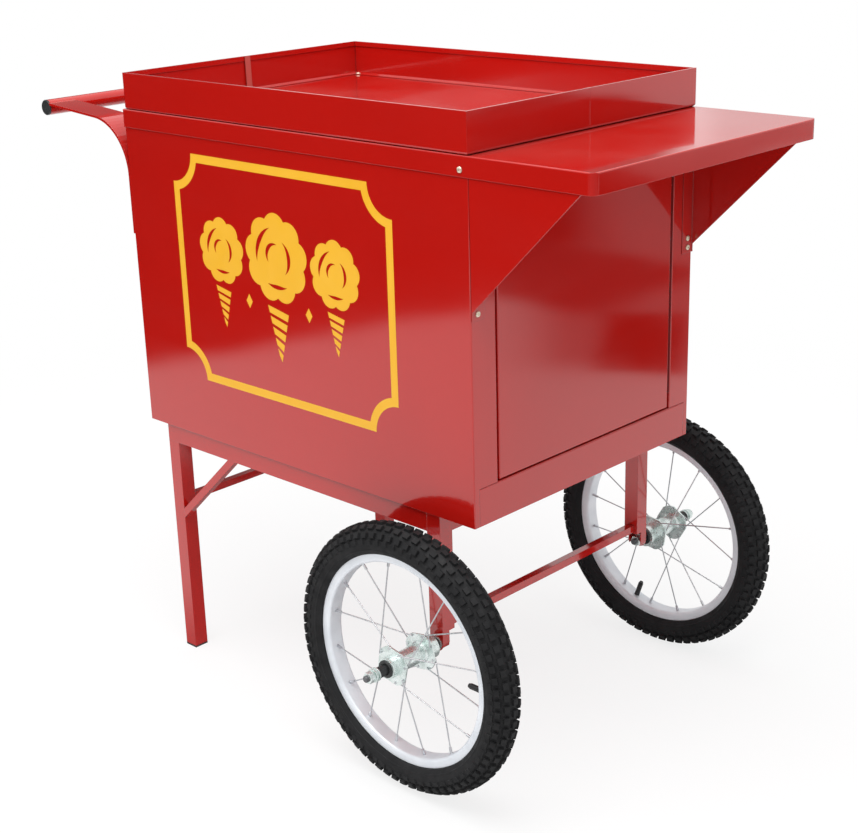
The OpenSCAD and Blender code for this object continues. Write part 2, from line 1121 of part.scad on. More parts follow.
module catch_striker() {
  top_z = door_high_z - sheet - sheet / 2;
  path = [
    [cabinet_length - 2 * sheet - fold_radius, top_z],
    [striker_x - sheet / 2, top_z],
    [striker_x - sheet / 2, top_z - striker_leg]
  ];
  color(steel)
    cart_frame()
      translate([0, catch_y, 0])
        along_y(catch_width)
          folded(path, sheet, fold_radius);
}

// Wheels, drawn with the axle along Z and the outboard side up

module front_wheel_place() {
  translate([axle_x, -wheel_track / 2, axle_z])
    rotate([90, 0, 0])
      rotate([0, 0, front_wheel_turn])
        children();
}

module back_wheel_place() {
  mirror([0, 1, 0])
    translate([axle_x, -wheel_track / 2, axle_z])
      rotate([90, 0, 0])
        rotate([0, 0, back_wheel_turn])
          children();
}

module on_both_axles() {
  front_wheel_place()
    children();
  back_wheel_place()
    children();
}

function on_tyre(radius, angle) = [tyre_centre + radius * cos(angle), radius * sin(angle)];

// Points of one tread rib, from its lower to its upper root
function tread_rib(angle) =
  let (low = angle - tread_half_angle)
  let (high = angle + tread_half_angle)
  [
    on_tyre(carcass_radius, low),
    on_tyre(tread_radius, low),
    on_tyre(tread_radius, angle),
    on_tyre(tread_radius, high),
    on_tyre(carcass_radius, high)
  ];

// Tyre section in one outline: bead, sidewall, tread, sidewall, bead, then back through the cavity
module tyre() {
  seat = rim_radius + rim_clearance;
  bead_low = rim_radius - bead_depth;
  bead_outer = bead_inner + bead_width;
  wall_angle = acos((seat - tyre_centre) / carcass_radius);
  mouth_angle = 180 - asin(bead_inner / cavity_radius);
  wall_span = wall_angle - tread_half_angle - max(tread_rows);
  sidewall = [for (k = [0 : wall_steps - 1])
    on_tyre(carcass_radius, wall_angle - wall_span * k / wall_steps)];
  cavity = [for (k = [0 : cavity_steps])
    let (angle = mouth_angle * (1 - 2 * k / cavity_steps))
    [tyre_centre + cavity_lift + cavity_radius * cos(angle), cavity_radius * sin(angle)]];
  rotate_extrude($fn = 96)
    polygon(concat(
      [[bead_low, -bead_inner], [bead_low, -bead_outer], [seat, -bead_outer]],
      [for (p = sidewall) [p.x, -p.y]],
      [for (angle = tread_rows) each tread_rib(angle)],
      [for (k = [wall_steps - 1 : -1 : 0]) sidewall[k]],
      [[seat, bead_outer], [bead_low, bead_outer], [bead_low, bead_inner]],
      cavity
    ));
}

// Inner tube with its valve stem, at angle 0
module inner_tube() {
  outer = cavity_radius - tube_clearance;
  ring = tyre_centre + cavity_lift;
  seat_x = ring - outer + tube_wall_thickness / 2;
  tip_x = rim_inner - valve_length;
  rotate_extrude($fn = 96)
    translate([ring, 0])
      difference() {
        circle(r = outer);
        circle(r = outer - tube_wall_thickness);
      }
  translate([tip_x, 0, 0])
    rotate([0, 90, 0])
      cylinder(r = valve_radius, h = seat_x - tip_x);
  translate([tip_x - valve_neck, 0, 0])
    rotate([0, 90, 0])
      cylinder(r = valve_neck, h = 2 * valve_neck);
}

// Directions of one spoke: rim angle, hub angle, side of the hub and side of the flange
function spoke_rim_angle(k) = (k + 0.5) * spoke_turn;
function spoke_side(k) = k % 2 == 0 ? 1 : -1;
function spoke_hand(k) = floor(k / 2) % 2 == 0 ? 1 : -1;
function spoke_hub_angle(k) = spoke_rim_angle(k) + spoke_hand(k) * spoke_lead;
function elbow_standoff(k) = spoke_hand(k) > 0 ? elbow_outside : elbow_inside;
function elbow_s(k) = flange_s + spoke_hand(k) * (flange_thickness / 2 + spoke_radius + elbow_standoff(k));
function round_point(radius, angle, s) = [radius * cos(angle), radius * sin(angle), s];
function spoke_start(k) = round_point(spoke_circle, spoke_hub_angle(k), spoke_side(k) * elbow_s(k));
function spoke_end(k) = round_point(rim_bed, spoke_rim_angle(k), 0);

// Frame with Z along spoke k and its origin where the spoke meets the rim bed
module at_rim_end(k) {
  way = spoke_end(k) - spoke_start(k);
  translate(spoke_end(k))
    rotate([0, acos(way.z / norm(way)), atan2(way.y, way.x)])
      children();
}

module spoke(k) {
  length = norm(spoke_end(k) - spoke_start(k));
  hand = spoke_hand(k) * spoke_side(k);
  head_s = spoke_side(k) * (flange_s - spoke_hand(k) * flange_thickness / 2);
  at_rim_end(k)
    translate([0, 0, -length])
      cylinder(r = spoke_radius, h = length - spoke_radius);
  translate(spoke_start(k))
    sphere(r = spoke_radius * elbow_share);
  translate(round_point(spoke_circle, spoke_hub_angle(k), head_s))
    mirror([0, 0, hand > 0 ? 0 : 1]) {
      translate([0, 0, -spoke_head_height])
        cylinder(r = spoke_head, h = spoke_head_height);
      translate([0, 0, -spoke_head_height / 2])
        cylinder(r = spoke_radius, h = abs(spoke_start(k).z - head_s) + spoke_head_height / 2);
    }
}

module spokes() {
  for (k = [0 : spoke_count - 1])
    spoke(k);
}

module nipple() {
  difference() {
    union() {
      translate([0, 0, -nipple_length])
        cylinder(r = nipple_radius, h = nipple_length + nipple_seat + nipple_head_height / 2);
      translate([0, 0, nipple_seat])
        cylinder(r = nipple_head, h = nipple_head_height);
    }
    translate([0, 0, -nipple_length - overrun])
      cylinder(r = nipple_bore, h = nipple_length + overrun);
  }
}

module nipples() {
  for (k = [0 : spoke_count - 1])
    at_rim_end(k)
      nipple();
}

module rim() {
  side = rim_width / 2 - rim_wall / 2;
  path = [[rim_radius, side], [rim_bed, side], [rim_bed, -side], [rim_radius, -side]];
  difference() {
    rotate_extrude($fn = 96)
      folded(path, rim_wall, rim_fold);
    for (k = [0 : spoke_count - 1])
      at_rim_end(k)
        cylinder(r = nipple_hole, h = 2 * rim_fold, center = true);
    translate([rim_bed, 0, 0])
      rotate([0, 90, 0])
        cylinder(r = valve_radius + rim_clearance, h = 2 * rim_fold, center = true);
  }
}

// Lobed flange with its spoke holes
module hub_flange(side, turn_angle) {
  translate([0, 0, side * flange_s - flange_thickness / 2])
    linear_extrude(flange_thickness)
      difference() {
        intersection() {
          circle(r = flange_radius);
          rotate(turn_angle - spoke_turn)
            square(2 * flange_flat, center = true);
        }
        for (k = [0 : 2 : spoke_count - 1])
          rotate(turn_angle + k * spoke_turn)
            translate([spoke_circle, 0])
              circle(r = spoke_hole);
      }
}

// Section cut out of the hub for one bearing, the open end at S = 0 and up
module cup_section() {
  translate([ball_circle, -ball_inset])
    circle(r = race_radius);
  translate([0, cup_step - ball_inset])
    square([cup_radius, ball_inset + overrun]);
}

module hub_section() {
  difference() {
    polygon([
      [0, -hub_inner_end],
      [hub_inner_radius, -hub_inner_end],
      [hub_inner_radius, -flange_s],
      [barrel_radius + barrel_flare, -flange_s],
      [barrel_radius + barrel_flare, flare_length / 2 - flange_s],
      [barrel_radius, flare_length - flange_s],
      [barrel_radius, flange_s - flare_length],
      [barrel_radius + barrel_flare, flange_s - flare_length / 2],
      [barrel_radius + barrel_flare, flange_s],
      [hub_outer_radius, flange_s],
      [hub_outer_radius, hub_outer_end],
      [0, hub_outer_end]
    ]);
    translate([0, -hub_inner_end - overrun])
      square([hub_bore, hub_inner_end + hub_outer_end + 2 * overrun]);
    translate([0, hub_outer_end])
      cup_section();
    translate([0, -hub_inner_end])
      mirror([0, 1])
        cup_section();
  }
}

module hub() {
  rotate_extrude()
    hub_section();
  difference() {
    union() {
      hub_flange(1, spoke_turn / 2);
      hub_flange(-1, spoke_turn * 3 / 2);
    }
    cylinder(r = barrel_radius, h = 2 * flange_spacing, center = true);
  }
}

module ball_ring(s) {
  for (k = [0 : ball_count - 1])
    rotate(k * 360 / ball_count)
      translate([ball_circle, 0, s])
        sphere(r = ball_radius);
}

module bearing_balls() {
  ball_ring(hub_outer_end - ball_inset);
  ball_ring(ball_inset - hub_inner_end);
}

// Dust cap on a hub end at S = 0
module dust_cap() {
  inner = cone_radius + cap_clearance;
  spigot = cup_radius - seam;
  rotate_extrude()
    polygon([
      [spigot - cap_wall, -cap_spigot],
      [spigot, -cap_spigot],
      [spigot, 0],
      [cap_radius, 0],
      [cap_radius, cap_thickness / 2],
      [cap_radius - cap_thickness / 2, cap_thickness],
      [inner, cap_thickness],
      [inner, cap_thickness / 2],
      [spigot - cap_wall, cap_thickness / 2]
    ]);
}

module dust_caps() {
  translate([0, 0, hub_outer_end])
    dust_cap();
  translate([0, 0, -hub_inner_end])
    mirror([0, 0, 1])
      dust_cap();
}

// Cone from its tip under the balls to its outer end, with the hub end at S = 0
module cone(neck) {
  rotate_extrude()
    difference() {
      translate([cone_bore, -ball_inset - cone_tip])
        square([cone_radius - cone_bore, ball_inset + cone_tip + neck]);
      translate([ball_circle, -ball_inset])
        circle(r = race_radius);
    }
}

module axle() {
  tip = axle_radius - axle_chamfer;
  rotate_extrude()
    polygon([
      [0, -axle_inner_tip],
      [tip, -axle_inner_tip],
      [axle_radius, axle_chamfer - axle_inner_tip],
      [axle_radius, axle_outer_tip - axle_chamfer],
      [tip, axle_outer_tip],
      [0, axle_outer_tip]
    ]);
}

module washer(s) {
  translate([0, 0, s])
    difference() {
      cylinder(r = washer_radius, h = washer_thickness);
      translate([0, 0, -overrun])
        cylinder(r = cone_bore, h = washer_thickness + 2 * overrun);
    }
}

module nut(s, height) {
  corner = nut_flats / 2 / cos(30);
  face = corner - nut_chamfer;
  rise = (nut_chamfer + overrun) * tan(30);
  translate([0, 0, s])
    difference() {
      intersection() {
        cylinder(r = corner, h = height, $fn = 6);
        rotate_extrude()
          polygon([
            [0, 0],
            [face, 0],
            [corner + overrun, rise],
            [corner + overrun, height - rise],
            [face, height],
            [0, height]
          ]);
      }
      translate([0, 0, -overrun])
        cylinder(r = cone_bore, h = height + 2 * overrun);
    }
}

module wheel_axles() {
  color(steel)
    cart_frame()
      on_both_axles()
        axle();
}

module axle_cones() {
  color(plastic)
    cart_frame()
      on_both_axles() {
        translate([0, 0, hub_outer_end])
          cone(outer_cone_end - hub_outer_end);
        translate([0, 0, -hub_inner_end])
          mirror([0, 0, 1])
            cone(inner_cone_end - hub_inner_end);
      }
}

// Outboard: washer, lock nut, washer, nut. Inboard: washer, post wall, washer, nut
module axle_washers() {
  color(steel)
    cart_frame()
      on_both_axles() {
        washer(outer_cone_end);
        washer(outer_cone_end + washer_thickness + lock_nut_height);
        washer(-post_face_s);
        washer(-post_face_s - tube_wall - washer_thickness);
      }
}

module axle_nuts() {
  inner_s = -post_face_s - tube_wall - washer_thickness - nut_height;
  color(zinc)
    cart_frame()
      on_both_axles() {
        nut(outer_cone_end + washer_thickness, lock_nut_height);
        nut(outer_cone_end + 2 * washer_thickness + lock_nut_height, nut_height);
        nut(inner_s, nut_height);
      }
}

module front_tyre() {
  color(rubber)
    cart_frame()
      front_wheel_place()
        tyre();
}

module front_tube() {
  color(rubber)
    cart_frame()
      front_wheel_place()
        inner_tube();
}

module front_rim() {
  color(alloy)
    cart_frame()
      front_wheel_place()
        rim();
}

module front_spokes() {
  color(steel)
    cart_frame()
      front_wheel_place()
        spokes();
}

module front_nipples() {
  color(steel)
    cart_frame()
      front_wheel_place()
        nipples();
}

module front_hub() {
  color(zinc)
    cart_frame()
      front_wheel_place()
        hub();
}

module front_bearing_balls() {
  color(steel)
    cart_frame()
      front_wheel_place()
        bearing_balls();
}

module front_dust_caps() {
  color(plastic)
    cart_frame()
      front_wheel_place()
        dust_caps();
}

module back_tyre() {
  color(rubber)
    cart_frame()
      back_wheel_place()
        tyre();
}

module back_tube() {
  color(rubber)
    cart_frame()
      back_wheel_place()
        inner_tube();
}

module back_rim() {
  color(alloy)
    cart_frame()
      back_wheel_place()
        rim();
}

module back_spokes() {
  color(steel)
    cart_frame()
      back_wheel_place()
        spokes();
}

module back_nipples() {
  color(steel)
    cart_frame()
      back_wheel_place()
        nipples();
}

module back_hub() {
  color(zinc)
    cart_frame()
      back_wheel_place()
        hub();
}

module back_bearing_balls() {
  color(steel)
    cart_frame()
      back_wheel_place()
        bearing_balls();
}

module back_dust_caps() {
  color(plastic)
    cart_frame()
      back_wheel_place()
        dust_caps();
}

front_panel();
back_panel();
handle_end_panel();
floor_pan();
door_sill();
door_header();
top_plate();
front_gusset();
back_gusset();
tray_front_half();
tray_back_half();
tray_joint_strips();
front_rail();
back_rail();
leg_cross_rail();
post_cross_rail();
front_leg();
back_leg();
leg_plugs();
front_brace();
back_brace();
leg_stretcher();
front_post();
back_post();
post_tie_bar();
handle_bar();
handle_caps();
front_handle_arm();
back_handle_arm();
handle_rivets();
sheet_screws();
hinge_fixed_leaf();
hinge_pin();
door_catch();
wheel_axles();
axle_cones();
axle_washers();
axle_nuts();
door();
hinge_door_leaf();
catch_striker();
front_tyre();
front_tube();
front_rim();
front_spokes();
front_nipples();
front_hub();
front_bearing_balls();
front_dust_caps();
back_tyre();
back_tube();
back_rim();
back_spokes();
back_nipples();
back_hub();
back_bearing_balls();
back_dust_caps();
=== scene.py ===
"""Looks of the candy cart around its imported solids, in metres: X to the shelf end, -Y the front, Z up."""

import json
import math

import bmesh
import bpy
from mathutils import Matrix, Vector


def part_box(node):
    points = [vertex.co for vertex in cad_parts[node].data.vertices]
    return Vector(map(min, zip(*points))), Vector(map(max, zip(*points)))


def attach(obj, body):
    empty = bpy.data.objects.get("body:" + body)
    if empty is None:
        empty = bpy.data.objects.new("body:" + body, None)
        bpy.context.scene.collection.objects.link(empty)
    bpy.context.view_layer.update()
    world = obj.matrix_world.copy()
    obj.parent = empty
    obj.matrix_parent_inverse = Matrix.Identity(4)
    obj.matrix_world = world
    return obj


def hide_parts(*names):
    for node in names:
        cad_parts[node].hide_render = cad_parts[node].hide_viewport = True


MM = 0.001

# Camera, as in the photograph
PHOTO_WIDTH = 858
CAMERA_PLACE = Vector((1.72029, -1.70897, 1.26428))
CAMERA_HEADING = math.radians(44.2768)
CAMERA_FALL = math.radians(19.3017)
CAMERA_ROLL = math.radians(-1.7158)
FOCAL_PIXELS = 1593.21
SENSOR = 36.0

# Stage, where the floor is partly white near the cart and turns all white between two distances from it
FLOOR_SIDE = 30.0
FLOOR_TONE = 0.9
FLOOR_NEAR = 0.8
FLOOR_FADE = (0.9, 2.3)
AMBIENT = 0.72
KEY_PLACE = Vector((0.3, -0.7, 3.1))
KEY_TARGET = Vector((0, 0, 0.6))
KEY_SIDE = 2.4
KEY_POWER = 90
# Sheets on the floor that only glossy rays see, painting darker reflections onto the cart: name, middle,
# heading, length, width, softness of the edge and tone
FLOOR_FLAGS = (
    # The sheet under the cart paints the shadowed floor beneath it into the cart's reflections
    ("under_flag", (0.0, 0.02, 0.001), (1, 0), 1.3, 0.9, 0.25, 0.22),
    ("left_flag", (-8.06, -3.81, 0.002), (0.32, -0.948), 14.0, 14.0, 0.2, 0.006),
    ("middle_flag", (2.1, 3.0, 0.004), (0.63, 0.78), 3.5, 1.6, 0.25, 0.35),
    ("near_flag", (1.52, 1.69, 0.006), (0.56, 0.83), 0.66, 0.32, 0.08, 0.006),
    ("right_flag", (3.2, 3.0, 0.008), (0.63, 0.78), 2.2, 1.0, 0.25, 0.006),
    ("end_flag", (3.4, 4.4, 0.01), (0, 1), 1.8, 0.6, 0.2, 0.4),
    ("door_flag", (2.2, 2.1, 0.012), (1, 0), 1.0, 0.8, 0.15, 0.05),
    ("far_flag", (4.65, 4.7, 0.014), (0, 1), 1.5, 1.2, 0.2, 0.006),
    ("front_flag", (7.3, -5.9, 0.016), (0.643, 0.766), 16.0, 12.0, 0.4, 0.2),
    ("corner_flag", (-0.5, -5.8, 0.018), (1, 0), 3.4, 3.6, 0.3, 0.1),
    ("side_flag", (5.63, 1.9, 0.02), (-0.39, 0.92), 3.2, 3.4, 0.25, 0.1),
    ("back_flag", (-5.25, 9.2, 0.022), (1, 0), 13.5, 12.0, 0.4, 0.02),
)
# Upright sheets that only glossy rays see, painting darker reflections onto the cart, with the same values
UPRIGHT_FLAGS = (
    ("tray_flag", (3.6, 3.6, 1.7), (-0.707, 0.707), 1.7, 0.9, 0.2, 0.006),
    ("shelf_flag", (-3.39, 4.94, 2.19), (0.79, 0.613), 1.0, 0.9, 0.3, 0.1),
    ("sky_flag", (-3.11, 6.13, 2.05), (0.853, 0.5225), 1.2, 1.2, 0.35, 0.68),
    ("handle_flag", (-5.46, 3.17, 3.7), (0.562, 0.827), 2.0, 5.4, 0.4, 0.12),
    ("front_reflection_flag", (0.5, -6.0, 1.1), (1, 0), 12.0, 2.6, 0.4, 0.25),
)

# Yellow band on the front panel
DECAL_LEFT, DECAL_RIGHT = -233.75 * MM, 235.75 * MM
DECAL_LOW, DECAL_HIGH = 502.5 * MM, 858.5 * MM
DECAL_SCOOP = 46 * MM
DECAL_BAND = 13 * MM
DECAL_FILM = 0.12 * MM
ARC_STEPS = 20
LOBE_STEPS = 10

# Motif inside the band
MOTIF_MIDDLE = (-6 * MM, 700 * MM)
MOTIF_SPACING = 124 * MM
MOTIF_LIFT = 24 * MM
MOTIF_SIDE_DROP = 6 * MM
MOTIF_LARGE, MOTIF_SMALL = 66 * MM, 50 * MM
LOZENGE_SHARE = 0.53
LOZENGE_DROP = 50 * MM
LOZENGE_HALF = (7 * MM, 11 * MM)
# Curls in a puff, in shares of its size: across, up, radius, first and last angle, thickness
PUFF_CURLS = (
    (-0.05, 0.06, 0.62, 100, 200, 0.12),
    (0.08, 0.02, 0.4, -60, 70, 0.11),
    (0.02, -0.1, 0.6, 235, 300, 0.1),
    (-0.08, 0.08, 0.26, 60, 230, 0.1),
)
# The cone below a puff, in shares of the puff's size
CONE_TOP, CONE_WIDTH, CONE_LENGTH = -1.1, 0.72, 1.35

# Colours in sRGB, where a pair is the two shades of a patchy surface
RED = (0.72, 0.085, 0.06)
# Darker red on the hinge leaves: painted shade of the hinge line
HINGE_SHADE_RED = (0.42, 0.04, 0.04)
# Paler, pinker red on the tray joint strips: a painted highlight, the reflection of bright light laid into
# the colour
STRIP_HIGHLIGHT_RED = (0.74, 0.33, 0.3)
WORN_RED = (0.5, 0.1, 0.09)
# Dark red of the painted shade in seams and inside corners
PAINTED_SHADE_RED = (0.3, 0.02, 0.02)
CHIP_BROWN = (0.34, 0.2, 0.18)
DUST = (0.72, 0.5, 0.46)
VINYL_YELLOWS = ((0.93, 0.69, 0.1), (0.945, 0.715, 0.15))
TYRE_BLACKS = ((0.085, 0.086, 0.092), (0.125, 0.125, 0.13))
SCUFF_GREY = (0.27, 0.27, 0.27)
TUBE_BLACKS = ((0.1, 0.1, 0.105), (0.16, 0.16, 0.165))
PLASTIC_BLACKS = ((0.1, 0.105, 0.11), (0.15, 0.155, 0.16))
PLASTIC_EDGE = (0.3, 0.3, 0.3)
RIM_SILVERS = ((0.93, 0.945, 0.965), (0.86, 0.88, 0.905))
RIM_EDGE = (0.95, 0.955, 0.965)
STEELS = ((0.86, 0.865, 0.875), (0.76, 0.765, 0.78))
AXLE_STEELS = ((0.5, 0.5, 0.51), (0.36, 0.36, 0.37))
ZINCS = ((0.93, 0.96, 0.955), (0.79, 0.84, 0.825))
WARM_ZINCS = ((0.95, 0.9, 0.81), (0.82, 0.76, 0.67))
ZINC_EDGE = (0.95, 0.96, 0.95)

# Paint surface
PAINT_DEEPER = 0.9
PAINT_EDGE = 0.8 * MM
WORN_SHARE, CHIP_SHARE = 0.45, 0.8
DUST_FILM = (0.2, 0.45)
DUST_DULLING = 0.08
SMEAR_STRETCH = (3.0, 3.0, 14.0)
SMEAR_GAIN = 1.7
WAVE_DEPTH, PEEL_DEPTH = 0.7 * MM, 0.006 * MM
COAT_DULLNESS = 0.03
# Painted shade darkening seams and inside corners: reach, open share of the sky where they are closed and
# where they are clear, and strength
SHEET_PAINTED_SHADE = (2.5 * MM, 0.5, 0.88, 0.65)
RAIL_PAINTED_SHADE = (9 * MM, 0.68, 0.86, 0.95)

# Shader helpers: the noise values between which patches change over, and the rays spent on edges and seams
PATCH_LOW, PATCH_HIGH = 0.3, 0.7
EDGE_SAMPLES = 6
# How far a rounded normal agrees with the flat one where an edge starts and where it is full
EDGE_START, EDGE_FULL = 0.99, 0.8
# Height of a normal at which dust starts to lie and at which it lies in full
DUST_START, DUST_FULL = 0.3, 0.95

# Nodes that look different from the rest of their slot
OWN_LOOKS = {
    "wheel_axles": "axle_thread",
    # The hinge leaves take a darker, duller red, painted shade for the hinge line
    "hinge_fixed_leaf": "hinge_shaded_paint",
    "hinge_door_leaf": "hinge_shaded_paint",
    # The tray joint strips take a paler red, a painted highlight
    "tray_joint_strips": "strip_highlight_paint",
    # The rails take a wider, stronger painted shade in seams and corners, as below the front panel's edge
    "front_rail": "rail_shaded_paint",
    "back_rail": "rail_shaded_paint",
}

# Tyre section by angle from the crown, where a row has its first and last angle and 1 if it is staggered
KNOB_ROWS = ((50, 70, 0), (20, 40, 1), (-10, 10, 0), (-40, -20, 1), (-70, -50, 0))
SIDE_RIBS = ((75, 93, 1), (-93, -75, 1))
TREAD_RADIUS = 26.8 * MM
GROOVE_RADIUS = 22.6 * MM
CARCASS_RADIUS = 23.4 * MM
CASING_WALL = 5 * MM
SIDE_RIB_RADIUS = 24.9 * MM
SIDEWALL_STEPS = (98, 104, 110)
SIDEWALL_RING = (113, 116)
SIDEWALL_RING_RADIUS = 24.1 * MM
BEAD_ANGLES = (119, 124, 130, 136.2)
BEAD_SEAT, BEAD_FOOT = 159.3 * MM, 150 * MM
BEAD_OUTSIDE, BEAD_INSIDE = 11.6 * MM, 8 * MM
INNER_ANGLES = (150, 120, 80, 40, 0, -40, -80, -120, -150)

# Knobs round the tyre: columns in each pitch, and how many columns later a staggered row starts
KNOB_COUNT = 72
KNOB_STARTS = (0, 2 / 16, 8 / 16, 10 / 16)
KNOB_STAGGER = 2
KNOB_TAPER = 0.82
TYRE_CREASE = 24

# Screw heads, where each is turned by the twist, in radians, against the one before it
HEAD_RADIUS = 4.2 * MM
HEAD_HEIGHT = 2.5 * MM
HEAD_RIM = 0.7 * MM
HEAD_SEGMENTS = 40
HEAD_STEPS = 8
HEAD_CREASE = 35
HEAD_TWIST = 2.4
RECESS_WIDTH = 1.1 * MM
RECESS_REACH = 2.3 * MM
RECESS_DEPTH = 1.3 * MM
RECESS_OVERSHOOT = 1 * MM
RECESS_FOOT, RECESS_MOUTH = 0.55, 1.15
# Points this close are one point, and points this near a screw's end are on its end face
WELD = 0.001 * MM
END_FACE = 0.1 * MM
# Digits of a place in metres by which the screws are put in order
PLACE_DIGITS = 5


def linear(red, green, blue):
    """An sRGB colour as a linear one with full alpha."""
    return tuple(
        c / 12.92 if c <= 0.04045 else ((c + 0.055) / 1.055) ** 2.4 for c in (red, green, blue)
    ) + (1.0,)


def grey(value):
    return (value, value, value, 1.0)


# Node helpers


def new_material(name):
    made = bpy.data.materials.new(name)
    made.use_nodes = True
    return made, made.node_tree


def add(tree, kind, inputs=None, **settings):
    """A shader node with its settings, and its inputs linked or set."""
    made = tree.nodes.new("ShaderNode" + kind)
    for name, value in settings.items():
        setattr(made, name, value)
    connect(tree, made, inputs or {})
    return made


def connect(tree, node, inputs):
    """Links each input of a node to a socket, or sets it to a value."""
    for name, value in inputs.items():
        if isinstance(value, bpy.types.NodeSocket):
            tree.links.new(value, node.inputs[name])
        else:
            node.inputs[name].default_value = value


def surface(tree, inputs):
    connect(tree, tree.nodes["Principled BSDF"], inputs)


def replace_surface(tree, shader):
    """Shows a shader in place of the one that a new material has."""
    tree.links.new(shader, tree.nodes["Material Output"].inputs["Surface"])
    tree.nodes.remove(tree.nodes["Principled BSDF"])


def rest_place(tree):
    """Coordinates in the rest frame, which move with the body."""
    return add(tree, "TexCoord").outputs["Object"]


def noise(tree, place, scale, detail=3.0, roughness=0.55):
    inputs = {"Vector": place, "Scale": scale, "Detail": detail, "Roughness": roughness}
    return add(tree, "TexNoise", inputs).outputs["Fac"]


def stretched(tree, place, scale):
    return add(tree, "Mapping", {"Vector": place, "Scale": scale}).outputs["Vector"]


def spread(tree, value, low, high, start=0.0, end=1.0):
    """A value between low and high, carried over to the range from start to end."""
    inputs = {"Value": value, "From Min": low, "From Max": high, "To Min": start, "To Max": end}
    return add(tree, "MapRange", inputs).outputs["Result"]


def eased(tree, value, low, high):
    """0 to 1 between two values, with soft ends."""
    inputs = {"Value": value, "From Min": low, "From Max": high}
    return add(tree, "MapRange", inputs, interpolation_type="SMOOTHSTEP").outputs["Result"]


def patches(tree, place, scale, start=0.0, end=1.0):
    """A value that drifts from start to end in patches."""
    return spread(tree, noise(tree, place, scale), PATCH_LOW, PATCH_HIGH, start, end)


def math_node(tree, operation, first, second):
    return add(tree, "Math", {0: first, 1: second}, operation=operation).outputs[0]


def product(tree, first, second):
    return math_node(tree, "MULTIPLY", first, second)


def tinted(tree, share, first, second):
    """A mix of two colours, by the colour sockets of the mix node: inputs 6 and 7, and output 2."""
    return add(tree, "Mix", {0: share, 6: first, 7: second}, data_type="RGBA").outputs[2]


def shaded(tree, share, shades):
    """The colour at a share of the way from one sRGB shade to another."""
    return tinted(tree, share, linear(*shades[0]), linear(*shades[1]))


def overlaid(tree, body, mask, share, shade):
    """A colour with an sRGB shade laid over it, as far as a mask times a share says."""
    return tinted(tree, product(tree, mask, share), body, linear(*shade))


def bump(tree, height, depth, normal=None):
    inputs = {"Height": height, "Distance": depth}
    if normal:
        inputs["Normal"] = normal
    return add(tree, "Bump", inputs).outputs["Normal"]


def soft_edges(tree, radius):
    """The normal of the surface with its edges rounded, and a mask of those edges."""
    normal = add(tree, "Bevel", {"Radius": radius}, samples=EDGE_SAMPLES).outputs["Normal"]
    flat = add(tree, "NewGeometry").outputs["True Normal"]
    dot = add(tree, "VectorMath", {0: normal, 1: flat}, operation="DOT_PRODUCT").outputs["Value"]
    return normal, spread(tree, dot, EDGE_START, EDGE_FULL)


def painted_crevice_shade(tree, reach, closed, clear):
    """1 in inside corners and seams, 0 on open faces, by ambient occlusion: the mask of painted shade."""
    shade = add(tree, "AmbientOcclusion", {"Distance": reach}, samples=EDGE_SAMPLES).outputs["AO"]
    return spread(tree, shade, closed, clear, 1, 0)


def upward(tree):
    """1 where the surface looks up, 0 where it is upright or looks down."""
    normal = add(tree, "NewGeometry").outputs["True Normal"]
    height = add(tree, "SeparateXYZ", {"Vector": normal}).outputs["Z"]
    return spread(tree, height, DUST_START, DUST_FULL)


# Materials


def enamel(name, shade, shine, coat, dullness, crevice_shade=SHEET_PAINTED_SHADE):
    """Stoved enamel on sheet: slight waves and orange peel under a clear gloss, thin edges, some dust, and
    painted shade in seams and inside corners.
    """
    made, tree = new_material(name)
    place = rest_place(tree)
    rounded, edges = soft_edges(tree, PAINT_EDGE)
    colour = linear(*shade)
    deeper = tuple(PAINT_DEEPER * c for c in colour[:3]) + (1.0,)
    body = tinted(tree, patches(tree, place, scale=2.2), colour, deeper)
    worn = product(tree, edges, spread(tree, noise(tree, place, scale=60.0), low=0.45, high=0.7))
    body = overlaid(tree, body, worn, WORN_SHARE, WORN_RED)
    chips = product(tree, edges, spread(tree, noise(tree, place, scale=22.0), low=0.7, high=0.74))
    body = overlaid(tree, body, chips, CHIP_SHARE, CHIP_BROWN)
    dust = product(tree, upward(tree), spread(tree, noise(tree, place, scale=5.0), low=0.35, high=0.8))
    specks = spread(tree, noise(tree, place, scale=420.0), low=0.66, high=0.75)
    film = product(tree, dust, spread(tree, specks, 0, 1, *DUST_FILM))
    body = tinted(tree, film, body, linear(*DUST))
    # Painted shade: the red darkens where seams and inside corners close off the sky
    reach, closed, clear, strength = crevice_shade
    body = overlaid(tree, body, painted_crevice_shade(tree, reach, closed, clear), strength, PAINTED_SHADE_RED)
    streaks = noise(tree, stretched(tree, place, SMEAR_STRETCH), scale=1.6)
    smears = spread(tree, streaks, low=0.3, high=0.75, start=dullness, end=SMEAR_GAIN * dullness)
    rough = math_node(tree, "ADD", smears, product(tree, dust, DUST_DULLING))
    waves = bump(tree, noise(tree, place, scale=4.5, detail=1.0), WAVE_DEPTH, rounded)
    peel = bump(tree, noise(tree, place, scale=700.0, detail=1.0), PEEL_DEPTH, waves)
    surface(tree, {
        "Base Color": body,
        "Roughness": rough,
        "Normal": peel,
        "Specular IOR Level": shine,
        "Coat Weight": coat,
        "Coat Roughness": COAT_DULLNESS,
        "Coat Normal": peel,
    })
    return made


def yellow_vinyl():
    """Cut film, slightly duller and paler in patches."""
    made, tree = new_material("yellow_vinyl")
    place = rest_place(tree)
    surface(tree, {
        "Base Color": shaded(tree, patches(tree, place, scale=9.0), VINYL_YELLOWS),
        "Roughness": patches(tree, place, scale=40.0, start=0.3, end=0.46),
        "Normal": bump(tree, noise(tree, place, scale=160.0, detail=1.0), depth=0.03 * MM),
    })
    return made


